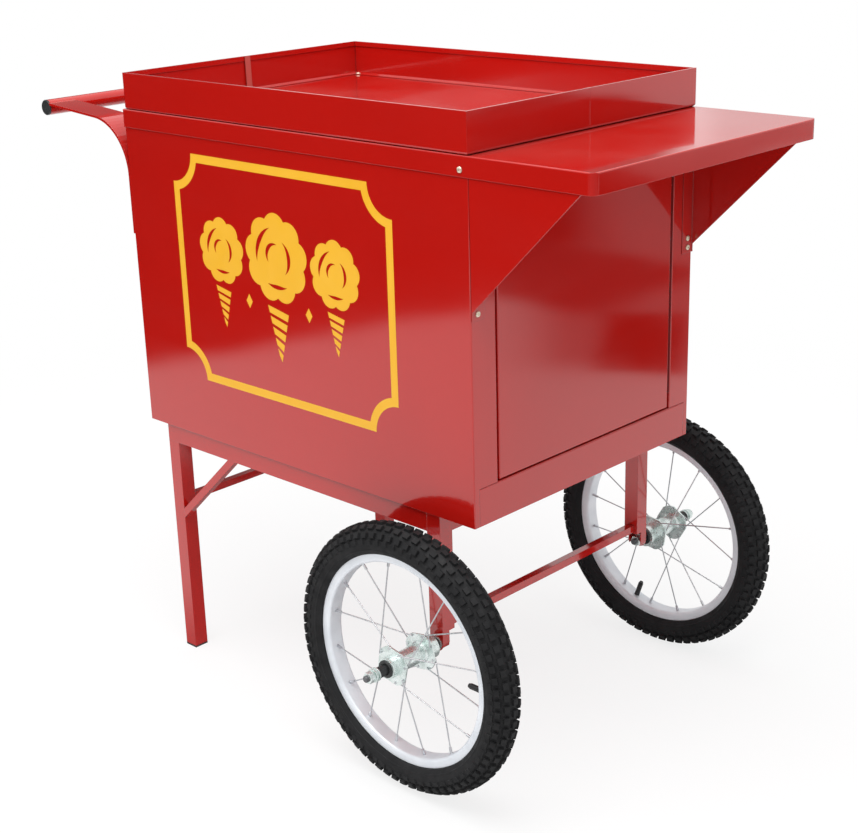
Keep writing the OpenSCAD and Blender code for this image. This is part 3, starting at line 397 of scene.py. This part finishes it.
def tyre_rubber():
    """Black rubber in patches, greyer where its edges are scuffed."""
    made, tree = new_material("tyre_rubber")
    place = rest_place(tree)
    rounded, edges = soft_edges(tree, radius=0.5 * MM)
    tone = spread(tree, noise(tree, place, scale=30.0), low=0.3, high=0.75)
    scuffs = spread(tree, noise(tree, place, scale=90.0), low=0.4, high=0.7, start=0, end=0.35)
    body = overlaid(tree, shaded(tree, tone, TYRE_BLACKS), edges, scuffs, SCUFF_GREY)
    surface(tree, {
        "Base Color": body,
        "Roughness": patches(tree, place, scale=70.0, start=0.55, end=0.8),
        "Normal": bump(tree, noise(tree, place, scale=900.0, detail=2.0), depth=0.08 * MM, normal=rounded),
        "Specular IOR Level": 0.25,
    })
    return made


def smooth_rubber():
    """Softer rubber of the inner tubes and valves, without scuffs."""
    made, tree = new_material("smooth_rubber")
    place = rest_place(tree)
    surface(tree, {
        "Base Color": shaded(tree, patches(tree, place, scale=25.0), TUBE_BLACKS),
        "Roughness": patches(tree, place, scale=60.0, start=0.4, end=0.55),
        "Normal": bump(tree, noise(tree, place, scale=500.0, detail=2.0), depth=0.05 * MM),
    })
    return made


def black_plastic():
    """Moulded plastic with a fine grain, paler along its edges."""
    made, tree = new_material("black_plastic")
    place = rest_place(tree)
    rounded, edges = soft_edges(tree, radius=0.6 * MM)
    body = shaded(tree, patches(tree, place, scale=40.0), PLASTIC_BLACKS)
    surface(tree, {
        "Base Color": overlaid(tree, body, edges, share=0.4, shade=PLASTIC_EDGE),
        "Roughness": patches(tree, place, scale=120.0, start=0.32, end=0.5),
        "Normal": bump(tree, noise(tree, place, scale=1200.0, detail=1.0), depth=0.03 * MM, normal=rounded),
    })
    return made


def rim_silver(axle):
    """Dull silver lacquer with faint turning lines round the axle."""
    made, tree = new_material("rim_silver")
    place = rest_place(tree)
    rounded, edges = soft_edges(tree, radius=0.5 * MM)
    split = add(tree, "SeparateXYZ", {"Vector": place})
    across = math_node(tree, "SUBTRACT", split.outputs["X"], axle.x)
    rise = math_node(tree, "SUBTRACT", split.outputs["Z"], axle.z)
    flat = add(tree, "CombineXYZ", {"X": across, "Y": rise})
    radius = add(tree, "VectorMath", {0: flat.outputs[0]}, operation="LENGTH").outputs["Value"]
    rings = add(tree, "CombineXYZ", {"X": radius, "Y": split.outputs["Y"]}).outputs[0]
    lines = noise(tree, rings, scale=900.0, detail=2.0)
    body = shaded(tree, patches(tree, place, scale=18.0), RIM_SILVERS)
    surface(tree, {
        "Base Color": overlaid(tree, body, edges, share=0.3, shade=RIM_EDGE),
        "Metallic": 0.3,
        "Roughness": spread(tree, lines, PATCH_LOW, PATCH_HIGH, start=0.36, end=0.5),
        "Normal": bump(tree, lines, depth=0.03 * MM, normal=rounded),
    })
    return made


def bright_steel():
    """Drawn steel with a very fine grain."""
    made, tree = new_material("bright_steel")
    place = rest_place(tree)
    surface(tree, {
        "Base Color": shaded(tree, patches(tree, place, scale=45.0), STEELS),
        "Metallic": 1.0,
        "Roughness": patches(tree, place, scale=200.0, start=0.3, end=0.45),
        "Normal": bump(tree, noise(tree, place, scale=1500.0, detail=2.0), depth=0.005 * MM),
    })
    return made


def threaded_steel():
    """Axle steel: rolled thread at its bare ends, which run along Y."""
    made, tree = new_material("threaded_steel")
    place = rest_place(tree)
    thread = add(tree, "TexWave", {"Vector": place, "Scale": 300.0}, bands_direction="Y").outputs["Fac"]
    surface(tree, {
        "Base Color": shaded(tree, patches(tree, place, scale=60.0), AXLE_STEELS),
        "Metallic": 1.0,
        "Roughness": patches(tree, place, scale=300.0, start=0.3, end=0.5),
        "Normal": bump(tree, thread, depth=0.4 * MM),
    })
    return made


def zinc_plate(name, shades):
    """Zinc with blotches and uneven reflections, brighter at the edges."""
    made, tree = new_material(name)
    place = rest_place(tree)
    rounded, edges = soft_edges(tree, radius=0.4 * MM)
    blotches = spread(tree, noise(tree, place, scale=70.0), low=0.35, high=0.65)
    body = shaded(tree, blotches, shades)
    surface(tree, {
        "Base Color": overlaid(tree, body, edges, share=0.5, shade=ZINC_EDGE),
        "Metallic": 0.8,
        "Roughness": patches(tree, place, scale=160.0, start=0.2, end=0.38),
        "Normal": bump(tree, noise(tree, place, scale=150.0, detail=2.0), depth=0.45 * MM, normal=rounded),
    })
    return made


# Mesh helpers


def new_piece(name, vertices, faces, material, body):
    mesh = bpy.data.meshes.new(name)
    mesh.from_pydata(vertices, [], faces)
    return place_mesh(name, mesh, material, body)


def place_mesh(name, mesh, material, body):
    """An object of a finished mesh in the rest frame, which rides a body."""
    mesh.validate()
    mesh.update()
    made = bpy.data.objects.new(name, mesh)
    made.data.materials.append(material)
    bpy.context.scene.collection.objects.link(made)
    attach(made, body)
    return made


def smooth_faces(piece, angle):
    """Smooth shading, broken at edges sharper than the angle in degrees."""
    mesh = bmesh.new()
    mesh.from_mesh(piece.data)
    for face in mesh.faces:
        face.smooth = True
    for edge in mesh.edges:
        edge.smooth = edge.calc_face_angle(0.0) < math.radians(angle)
    mesh.to_mesh(piece.data)
    mesh.free()


def mend_normals(piece):
    """Turns all faces of a closed mesh to look outwards."""
    mesh = bmesh.new()
    mesh.from_mesh(piece.data)
    bmesh.ops.recalc_face_normals(mesh, faces=mesh.faces)
    mesh.to_mesh(piece.data)
    mesh.free()


def finished_mesh(holder):
    """A new mesh of an object with its fill or modifiers done."""
    graph = bpy.context.evaluated_depsgraph_get()
    return bpy.data.meshes.new_from_object(holder.evaluated_get(graph))


def filled(name, outlines, depth):
    """A flat mesh of closed outlines, where an outline inside another is a hole."""
    curve = bpy.data.curves.new(name, "CURVE")
    curve.dimensions = "2D"
    curve.fill_mode = "BOTH"
    curve.extrude = depth / 2
    for outline in outlines:
        spline = curve.splines.new("POLY")
        spline.points.add(len(outline) - 1)
        for point, (across, up) in zip(spline.points, outline):
            point.co = (across, up, 0, 1)
        spline.use_cyclic_u = True
    holder = bpy.data.objects.new(name + "_outline", curve)
    bpy.context.scene.collection.objects.link(holder)
    mesh = finished_mesh(holder)
    bpy.data.objects.remove(holder)
    bpy.data.curves.remove(curve)
    return mesh


def cut_mesh(name, body, tool):
    """The mesh of one (vertices, faces) with another taken out of it."""
    parts = []
    for kind, (vertices, faces) in (("_body", body), ("_tool", tool)):
        mesh = bpy.data.meshes.new(name + kind)
        mesh.from_pydata(vertices, [], faces)
        part = bpy.data.objects.new(name + kind, mesh)
        bpy.context.scene.collection.objects.link(part)
        parts.append(part)
    cut = parts[0].modifiers.new("cut", "BOOLEAN")
    cut.operation = "DIFFERENCE"
    cut.solver = "EXACT"
    cut.object = parts[1]
    done = finished_mesh(parts[0])
    for part in parts:
        bpy.data.objects.remove(part)
    return done


def islands(node):
    """The separate lumps of a node's mesh, as lists of points."""
    mesh = bmesh.new()
    mesh.from_mesh(node.data)
    bmesh.ops.remove_doubles(mesh, verts=mesh.verts, dist=WELD)
    left = set(mesh.verts)
    lumps = []
    while left:
        reached = [left.pop()]
        for vertex in reached:
            near = {edge.other_vert(vertex) for edge in vertex.link_edges} & left
            left -= near
            reached.extend(near)
        lumps.append([vertex.co.copy() for vertex in reached])
    mesh.free()
    return lumps


# Decal


def polar(centre, radius, angle):
    """The point at a distance and an angle in degrees from a centre."""
    turn = math.radians(angle)
    return (centre[0] + radius * math.cos(turn), centre[1] + radius * math.sin(turn))


def arc(centre, radius, start, end, steps=ARC_STEPS):
    """Points of an arc from one angle in degrees to another."""
    return [polar(centre, radius, start + (end - start) * k / steps) for k in range(steps + 1)]


def ticket_outline(inset):
    """A rectangle with a scooped corner at each of its four corners, drawn in by the inset."""
    radius = DECAL_SCOOP + inset
    lip = math.degrees(math.asin(inset / radius))
    corners = (
        ((DECAL_LEFT, DECAL_LOW), 90),
        ((DECAL_RIGHT, DECAL_LOW), 180),
        ((DECAL_RIGHT, DECAL_HIGH), 270),
        ((DECAL_LEFT, DECAL_HIGH), 360),
    )
    return [p for corner, turn in corners for p in arc(corner, radius, turn - lip, turn - 90 + lip)]


def cloud_outline(centre, size, lobes=9, ring=0.66, puff=0.36):
    """The outside of a ring of overlapping circles."""
    half = math.pi / lobes
    reach = size * (ring * math.cos(half) + math.sqrt(puff**2 - (ring * math.sin(half)) ** 2))
    span = math.degrees(math.atan2(reach * math.sin(half), reach * math.cos(half) - ring * size))
    points = []
    for lobe in range(lobes):
        turn = 90 + 360 * lobe / lobes
        middle = polar(centre, ring * size, turn)
        points += arc(middle, puff * size, turn - span, turn + span, LOBE_STEPS)
    return points


def crescent(centre, radius, start, end, thickness):
    """A lens between two arcs that meet at their ends."""
    outer = arc(centre, radius, start, end)
    inner = []
    for k, point in enumerate(outer):
        depth = thickness * math.sin(math.pi * k / ARC_STEPS) / radius
        inner.append(tuple(c + (p - c) * (1 - depth) for c, p in zip(centre, point)))
    return outer + inner[-2:0:-1]


def cone_stripes(top, width, length, stripes=5, tilt=0.1, share=0.68):
    """Slanting stripes across a cone that points down."""

    def edge(side, down):
        return (top[0] + side * width / 2 * (1 - down), top[1] - length * down)

    pitch = (1 - tilt) / stripes
    bands = []
    for stripe in range(stripes):
        start = stripe * pitch
        end = start + share * pitch
        bands.append([edge(-1, start), edge(-1, end), edge(1, end + tilt), edge(1, start + tilt)])
    return bands


def candy_floss(centre, size):
    """Outlines of a puff of candy floss on a striped cone."""
    across, up = centre
    curls = [
        crescent((across + right * size, up + above * size), radius * size, start, end, thickness * size)
        for right, above, radius, start, end, thickness in PUFF_CURLS
    ]
    cone = cone_stripes((across, up + CONE_TOP * size), CONE_WIDTH * size, CONE_LENGTH * size)
    return [cloud_outline(centre, size), *curls, *cone]


def lozenge(centre, half_width, half_height):
    across, up = centre
    return [
        (across - half_width, up),
        (across, up - half_height),
        (across + half_width, up),
        (across, up + half_height),
    ]


def motif_outlines():
    """A large puff between two small ones, with a lozenge in each gap."""
    across, up = MOTIF_MIDDLE
    outlines = candy_floss((across, up + MOTIF_LIFT), MOTIF_LARGE)
    for side in (-1, 1):
        place = across + side * MOTIF_SPACING
        outlines += candy_floss((place, up + MOTIF_LIFT - MOTIF_SIDE_DROP), MOTIF_SMALL)
        gap = across + side * LOZENGE_SHARE * MOTIF_SPACING
        outlines.append(lozenge((gap, up - LOZENGE_DROP), *LOZENGE_HALF))
    return outlines


def front_decal(material):
    """Cut yellow film on the front panel, with its back on the paint."""
    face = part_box("front_panel")[0].y
    stand = Matrix.Translation((0, face - DECAL_FILM / 2, 0)) @ Matrix.Rotation(math.pi / 2, 4, "X")
    shapes = {
        "decal_band": [ticket_outline(0), ticket_outline(DECAL_BAND)],
        "decal_motif": motif_outlines(),
    }
    for name, outlines in shapes.items():
        mesh = filled(name, outlines, DECAL_FILM)
        mesh.transform(stand)
        place_mesh(name, mesh, material, "cart")


# Tyres


def section_point(radius, angle):
    """Distances outwards and across from the middle of the tyre's section, at an angle from the crown."""
    return polar((0, 0), radius, angle)


def tyre_section(ring):
    """The closed section from bead to bead and back inside, and the places of its knob rows in it."""
    outside = {}
    for row in KNOB_ROWS:
        outside.update({angle: GROOVE_RADIUS for angle in row[:2]})
    for row in SIDE_RIBS:
        outside.update({angle: CARCASS_RADIUS for angle in row[:2]})
    for side in (-1, 1):
        outside.update({side * angle: CARCASS_RADIUS for angle in SIDEWALL_STEPS + BEAD_ANGLES})
        outside.update({side * angle: SIDEWALL_RING_RADIUS for angle in SIDEWALL_RING})
    angles = sorted(outside)
    points = [section_point(outside[angle], angle) for angle in angles]
    bead = [(BEAD_SEAT, BEAD_OUTSIDE), (BEAD_FOOT, BEAD_OUTSIDE), (BEAD_FOOT, BEAD_INSIDE)]
    points += [(radius - ring, across) for radius, across in bead]
    points += [section_point(CARCASS_RADIUS - CASING_WALL, angle) for angle in INNER_ANGLES]
    points += [(radius - ring, -across) for radius, across in reversed(bead)]
    rows = {angles.index(row[0]): (*row, TREAD_RADIUS) for row in KNOB_ROWS}
    rows.update({angles.index(row[0]): (*row, SIDE_RIB_RADIUS) for row in SIDE_RIBS})
    return points, rows


def knobby_tyre(name, node, material, body):
    """A casing with rows of tapered knobs, staggered from row to row, closed on the inside."""
    low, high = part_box(node)
    middle = (low + high) / 2
    ring = (high.z - low.z) / 2 - TREAD_RADIUS
    section, knob_rows = tyre_section(ring)
    starts = [(pitch + share) / KNOB_COUNT for pitch in range(KNOB_COUNT) for share in KNOB_STARTS]
    per_pitch = len(KNOB_STARTS)
    columns = len(starts)
    rows = len(section)

    def spot(turn_share, out, across):
        turn = 2 * math.pi * turn_share
        reach = ring + out
        return middle + Vector((reach * math.cos(turn), across, reach * math.sin(turn)))

    def corner(column, row):
        return (column % columns) * rows + row % rows

    def first_column(row):
        """The column of each pitch at which a row's knobs start."""
        return KNOB_STAGGER if knob_rows[row][2] else 0

    vertices = [spot(share, *point) for share in starts for point in section]
    faces = []
    for column in range(columns):
        for row in range(rows):
            under_knob = row in knob_rows and (column - first_column(row)) % per_pitch < per_pitch - 1
            if under_knob:
                continue
            faces.append([
                corner(column, row), corner(column, row + 1),
                corner(column + 1, row + 1), corner(column + 1, row),
            ])

    def add_knob(base, row, start, end, radius):
        """A tapered block on the patch that was left open from one column on, in one row."""
        foot = [corner(base + k, row) for k in range(per_pitch)]
        foot += [corner(base + k, row + 1) for k in reversed(range(per_pitch))]
        shares = [starts[(base + k) % columns] for k in range(per_pitch)]
        shares = [share + (share < shares[0]) for share in shares]
        centre = (shares[0] + shares[-1]) / 2
        halfway = (start + end) / 2
        top = len(vertices)
        for angle, order in ((start, shares), (end, shares[::-1])):
            point = section_point(radius, halfway + (angle - halfway) * KNOB_TAPER)
            vertices.extend(spot(centre + (share - centre) * KNOB_TAPER, *point) for share in order)
        count = len(foot)
        for k in range(count):
            after = (k + 1) % count
            faces.append([foot[k], foot[after], top + after, top + k])
        for k in range(per_pitch - 1):
            faces.append([top + k, top + k + 1, top + count - 2 - k, top + count - 1 - k])

    for row, (start, end, _, radius) in knob_rows.items():
        for pitch in range(KNOB_COUNT):
            add_knob(pitch * per_pitch + first_column(row), row, start, end, radius)
    piece = new_piece(name, vertices, faces, material, body)
    mend_normals(piece)
    smooth_faces(piece, TYRE_CREASE)
    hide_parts(node)


# Screw heads


def lathe(profile, segments):
    """Vertices and faces of a profile of (radius, height) turned about Z, closed at both ends."""
    vertices = []
    for radius, height in profile:
        for k in range(segments):
            turn = 2 * math.pi * k / segments
            vertices.append((radius * math.cos(turn), radius * math.sin(turn), height))
    faces = []
    for row in range(len(profile) - 1):
        for k in range(segments):
            after = (k + 1) % segments
            low, high = row * segments, (row + 1) * segments
            faces.append([low + k, low + after, high + after, high + k])
    last = (len(profile) - 1) * segments
    faces.append(list(range(segments))[::-1])
    faces.append([last + k for k in range(segments)])
    return vertices, faces


def cross_tool():
    """A cross-shaped driver tip that narrows downwards."""
    half = RECESS_WIDTH / 2
    outline = []
    for quarter in range(4):
        turn = Matrix.Rotation(quarter * math.pi / 2, 2)
        for along, across in ((RECESS_REACH, -half), (RECESS_REACH, half), (half, half)):
            outline.append(turn @ Vector((along, across)))
    levels = (
        (HEAD_HEIGHT - RECESS_DEPTH, RECESS_FOOT),
        (HEAD_HEIGHT + RECESS_OVERSHOOT, RECESS_MOUTH),
    )
    vertices = [(scale * p.x, scale * p.y, height) for height, scale in levels for p in outline]
    count = len(outline)
    faces = [list(range(count))[::-1], [count + k for k in range(count)]]
    for k in range(count):
        after = (k + 1) % count
        faces.append([k, after, count + after, count + k])
    return vertices, faces


def pan_head():
    """One pan head with a cross recess, standing on Z = 0."""
    crown = HEAD_HEIGHT - HEAD_RIM
    profile = [(HEAD_RADIUS, 0)]
    for k in range(HEAD_STEPS):
        turn = math.pi / 2 * k / HEAD_STEPS
        profile.append((HEAD_RADIUS * math.cos(turn), HEAD_RIM + crown * math.sin(turn)))
    return cut_mesh("pan_head", lathe(profile, HEAD_SEGMENTS), cross_tool())


def head_places(node):
    """For each screw in a node, in order of place, the top of its head and the way that the head looks."""
    places = []
    for lump in islands(node):
        low = Vector(min(p[k] for p in lump) for k in range(3))
        high = Vector(max(p[k] for p in lump) for k in range(3))
        size = high - low
        axis = max(range(3), key=lambda k: size[k])
        middle = (low + high) / 2
        reach = {}
        for side, level in ((-1, low[axis]), (1, high[axis])):
            flat = [p for p in lump if abs(p[axis] - level) < END_FACE]
            reach[side] = max((p - middle).length for p in flat)
        side = max(reach, key=reach.get)
        way = Vector((0, 0, 0))
        way[axis] = side
        tip = middle.copy()
        tip[axis] = (high if side > 0 else low)[axis]
        places.append((tip, way))
    return sorted(places, key=lambda place: tuple(round(c, PLACE_DIGITS) for c in place[0]))


def screw_heads(material):
    """Cross-recess heads over the screws' plain ones."""
    head = pan_head()
    built = bmesh.new()
    for number, (tip, way) in enumerate(head_places(frame["nodes"]["sheet_screws"])):
        twist = Matrix.Rotation(number * HEAD_TWIST, 4, "Z")
        turn = way.to_track_quat("Z", "Y").to_matrix().to_4x4()
        copy = head.copy()
        copy.transform(Matrix.Translation(tip - way * HEAD_HEIGHT) @ turn @ twist)
        built.from_mesh(copy)
        bpy.data.meshes.remove(copy)
    mesh = bpy.data.meshes.new("screw_heads")
    built.to_mesh(mesh)
    built.free()
    piece = place_mesh("screw_heads", mesh, material, "cart")
    smooth_faces(piece, HEAD_CREASE)
    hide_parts("sheet_screws")


# Dressing the solids


def dress_solids(looks):
    """Gives each node the look of its slot, or its own."""
    for part in frame["record"]["subparts"]:
        look = OWN_LOOKS.get(part["node"], part["material_slot"])
        node = frame["nodes"][part["node"]]
        node.data.materials.clear()
        node.data.materials.append(looks[look])


# Stage


def background_rays(tree):
    """1 for rays that show the background itself: camera, glossy and transmission rays."""
    path = add(tree, "LightPath").outputs
    seen = math_node(tree, "MAXIMUM", path["Is Camera Ray"], path["Is Glossy Ray"])
    return math_node(tree, "MAXIMUM", seen, path["Is Transmission Ray"])


def studio_world():
    """Even light from all round, which is plain white where it is seen."""
    world = bpy.data.worlds.new("studio")
    world.use_nodes = True
    tree = world.node_tree
    strength = spread(tree, background_rays(tree), 0, 1, AMBIENT, 1)
    connect(tree, tree.nodes["Background"], {"Color": grey(1.0), "Strength": strength})
    bpy.context.scene.world = world


def rectangle(name, length, width, material):
    """A flat stage piece with its middle at the origin."""
    signs = ((-1, -1), (1, -1), (1, 1), (-1, 1))
    corners = [(across * length / 2, along * width / 2, 0) for across, along in signs]
    mesh = bpy.data.meshes.new(name)
    mesh.from_pydata(corners, [], [[0, 1, 2, 3]])
    made = bpy.data.objects.new(name, mesh)
    made.data.materials.append(material)
    bpy.context.scene.collection.objects.link(made)
    return made


def floor_paper():
    """Pale paper that keeps the shadow near the cart and runs out into white."""
    made, tree = new_material("floor_paper")
    distance = add(tree, "VectorMath", {0: rest_place(tree)}, operation="LENGTH").outputs["Value"]
    far = eased(tree, distance, *FLOOR_FADE)
    share = product(tree, spread(tree, far, 0, 1, FLOOR_NEAR, 1), background_rays(tree))
    paper = add(tree, "BsdfDiffuse", {"Color": grey(FLOOR_TONE)}).outputs[0]
    white = add(tree, "Emission", {"Color": grey(1.0)}).outputs[0]
    replace_surface(tree, add(tree, "MixShader", {0: share, 1: paper, 2: white}).outputs[0])
    rectangle("floor", FLOOR_SIDE, FLOOR_SIDE, made)


def inside(tree, value, size, softness):
    """1 within half the size of the middle, falling to 0 at the edge."""
    distance = add(tree, "Math", {0: value}, operation="ABSOLUTE").outputs[0]
    return eased(tree, distance, size / 2, size / 2 - softness)


def flag(name, middle, heading, length, width, softness, tone, tilt=0.0):
    """A sheet beside the cart, flat or tilted about its heading, which only shows in reflections, where it
    paints a darker reflection of its tone.
    """
    made, tree = new_material(name)
    split = add(tree, "SeparateXYZ", {"Vector": rest_place(tree)})
    along = inside(tree, split.outputs["X"], length, softness)
    across = inside(tree, split.outputs["Y"], width, softness)
    cover = product(tree, along, across)
    clear = add(tree, "BsdfTransparent").outputs[0]
    # Emission of the tone, seen only in glossy rays: a painted reflection
    painted_reflection = add(tree, "Emission", {"Color": grey(tone)}).outputs[0]
    replace_surface(tree, add(tree, "MixShader", {0: cover, 1: clear, 2: painted_reflection}).outputs[0])
    sheet = rectangle(name, length, width, made)
    sheet.location = middle
    sheet.rotation_euler = (tilt, 0, math.atan2(heading[1], heading[0]))
    sheet.visible_camera = False
    sheet.visible_diffuse = False
    sheet.visible_shadow = False
    sheet.visible_transmission = False


def key_light():
    """A large soft lamp above and in front of the cart."""
    lamp = bpy.data.lights.new("key_softbox", "AREA")
    lamp.size = KEY_SIDE
    lamp.energy = KEY_POWER
    made = bpy.data.objects.new("key_softbox", lamp)
    made.location = KEY_PLACE
    made.rotation_euler = (KEY_TARGET - KEY_PLACE).to_track_quat("-Z", "Y").to_euler()
    bpy.context.scene.collection.objects.link(made)


def photo_camera():
    """The photograph's camera: place, heading, fall and roll, with its lens."""
    level = Vector((math.cos(CAMERA_HEADING), math.sin(CAMERA_HEADING), 0))
    ahead = Vector((
        -math.sin(CAMERA_HEADING) * math.cos(CAMERA_FALL),
        math.cos(CAMERA_HEADING) * math.cos(CAMERA_FALL),
        -math.sin(CAMERA_FALL),
    ))
    upright = level.cross(ahead)
    right = level * math.cos(CAMERA_ROLL) + upright * math.sin(CAMERA_ROLL)
    up = right.cross(ahead)
    data = bpy.data.cameras.new("photo_camera")
    data.sensor_fit = "HORIZONTAL"
    data.sensor_width = SENSOR
    data.lens = FOCAL_PIXELS / PHOTO_WIDTH * SENSOR
    made = bpy.data.objects.new("photo_camera", data)
    turn = Matrix((right, up, -ahead)).transposed().to_4x4()
    made.matrix_world = Matrix.Translation(CAMERA_PLACE) @ turn
    bpy.context.scene.collection.objects.link(made)
    bpy.context.scene.camera = made


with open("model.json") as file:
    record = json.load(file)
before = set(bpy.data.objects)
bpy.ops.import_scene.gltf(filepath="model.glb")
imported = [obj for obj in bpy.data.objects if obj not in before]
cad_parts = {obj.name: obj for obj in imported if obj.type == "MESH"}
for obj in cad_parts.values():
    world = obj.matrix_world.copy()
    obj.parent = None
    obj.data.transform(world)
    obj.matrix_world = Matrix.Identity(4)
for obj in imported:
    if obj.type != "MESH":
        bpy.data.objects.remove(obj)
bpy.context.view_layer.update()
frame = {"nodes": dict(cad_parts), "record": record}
front_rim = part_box("front_rim")
looks = {
    "red_paint": enamel("red_enamel", RED, shine=0.5, coat=0.65, dullness=0.08),
    # Red enamel with wider, stronger painted shade in its seams and corners
    "rail_shaded_paint": enamel("rail_shaded_enamel", RED, shine=0.5, coat=0.65, dullness=0.08, crevice_shade=RAIL_PAINTED_SHADE),
    # Tray joint strips: paler red with little gloss, a painted highlight
    "strip_highlight_paint": enamel("strip_highlight_enamel", STRIP_HIGHLIGHT_RED, shine=0.5, coat=0.1, dullness=0.3),
    # Hinge leaves: darker red with little gloss, painted shade of the hinge line
    "hinge_shaded_paint": enamel("hinge_shaded_enamel", HINGE_SHADE_RED, shine=0.1, coat=0.0, dullness=0.4),
    "black_plastic": black_plastic(),
    "tyre_rubber": tyre_rubber(),
    "tube_rubber": smooth_rubber(),
    "rim_silver": rim_silver((front_rim[0] + front_rim[1]) / 2),
    "bright_steel": bright_steel(),
    "zinc_plate": zinc_plate("zinc_plate", ZINCS),
    "warm_zinc": zinc_plate("warm_zinc", WARM_ZINCS),
    "axle_thread": threaded_steel(),
}
dress_solids(looks)
front_decal(yellow_vinyl())
for side in ("front", "back"):
    knobby_tyre(side + "_knobby_tyre", side + "_tyre", looks["tyre_rubber"], side + "_wheel")
screw_heads(looks["warm_zinc"])

studio_world()
floor_paper()
for settings in FLOOR_FLAGS:
    flag(*settings)
for settings in UPRIGHT_FLAGS:
    flag(*settings, tilt=math.pi / 2)
key_light()
photo_camera()
bpy.context.scene.view_settings.view_transform = "Standard"
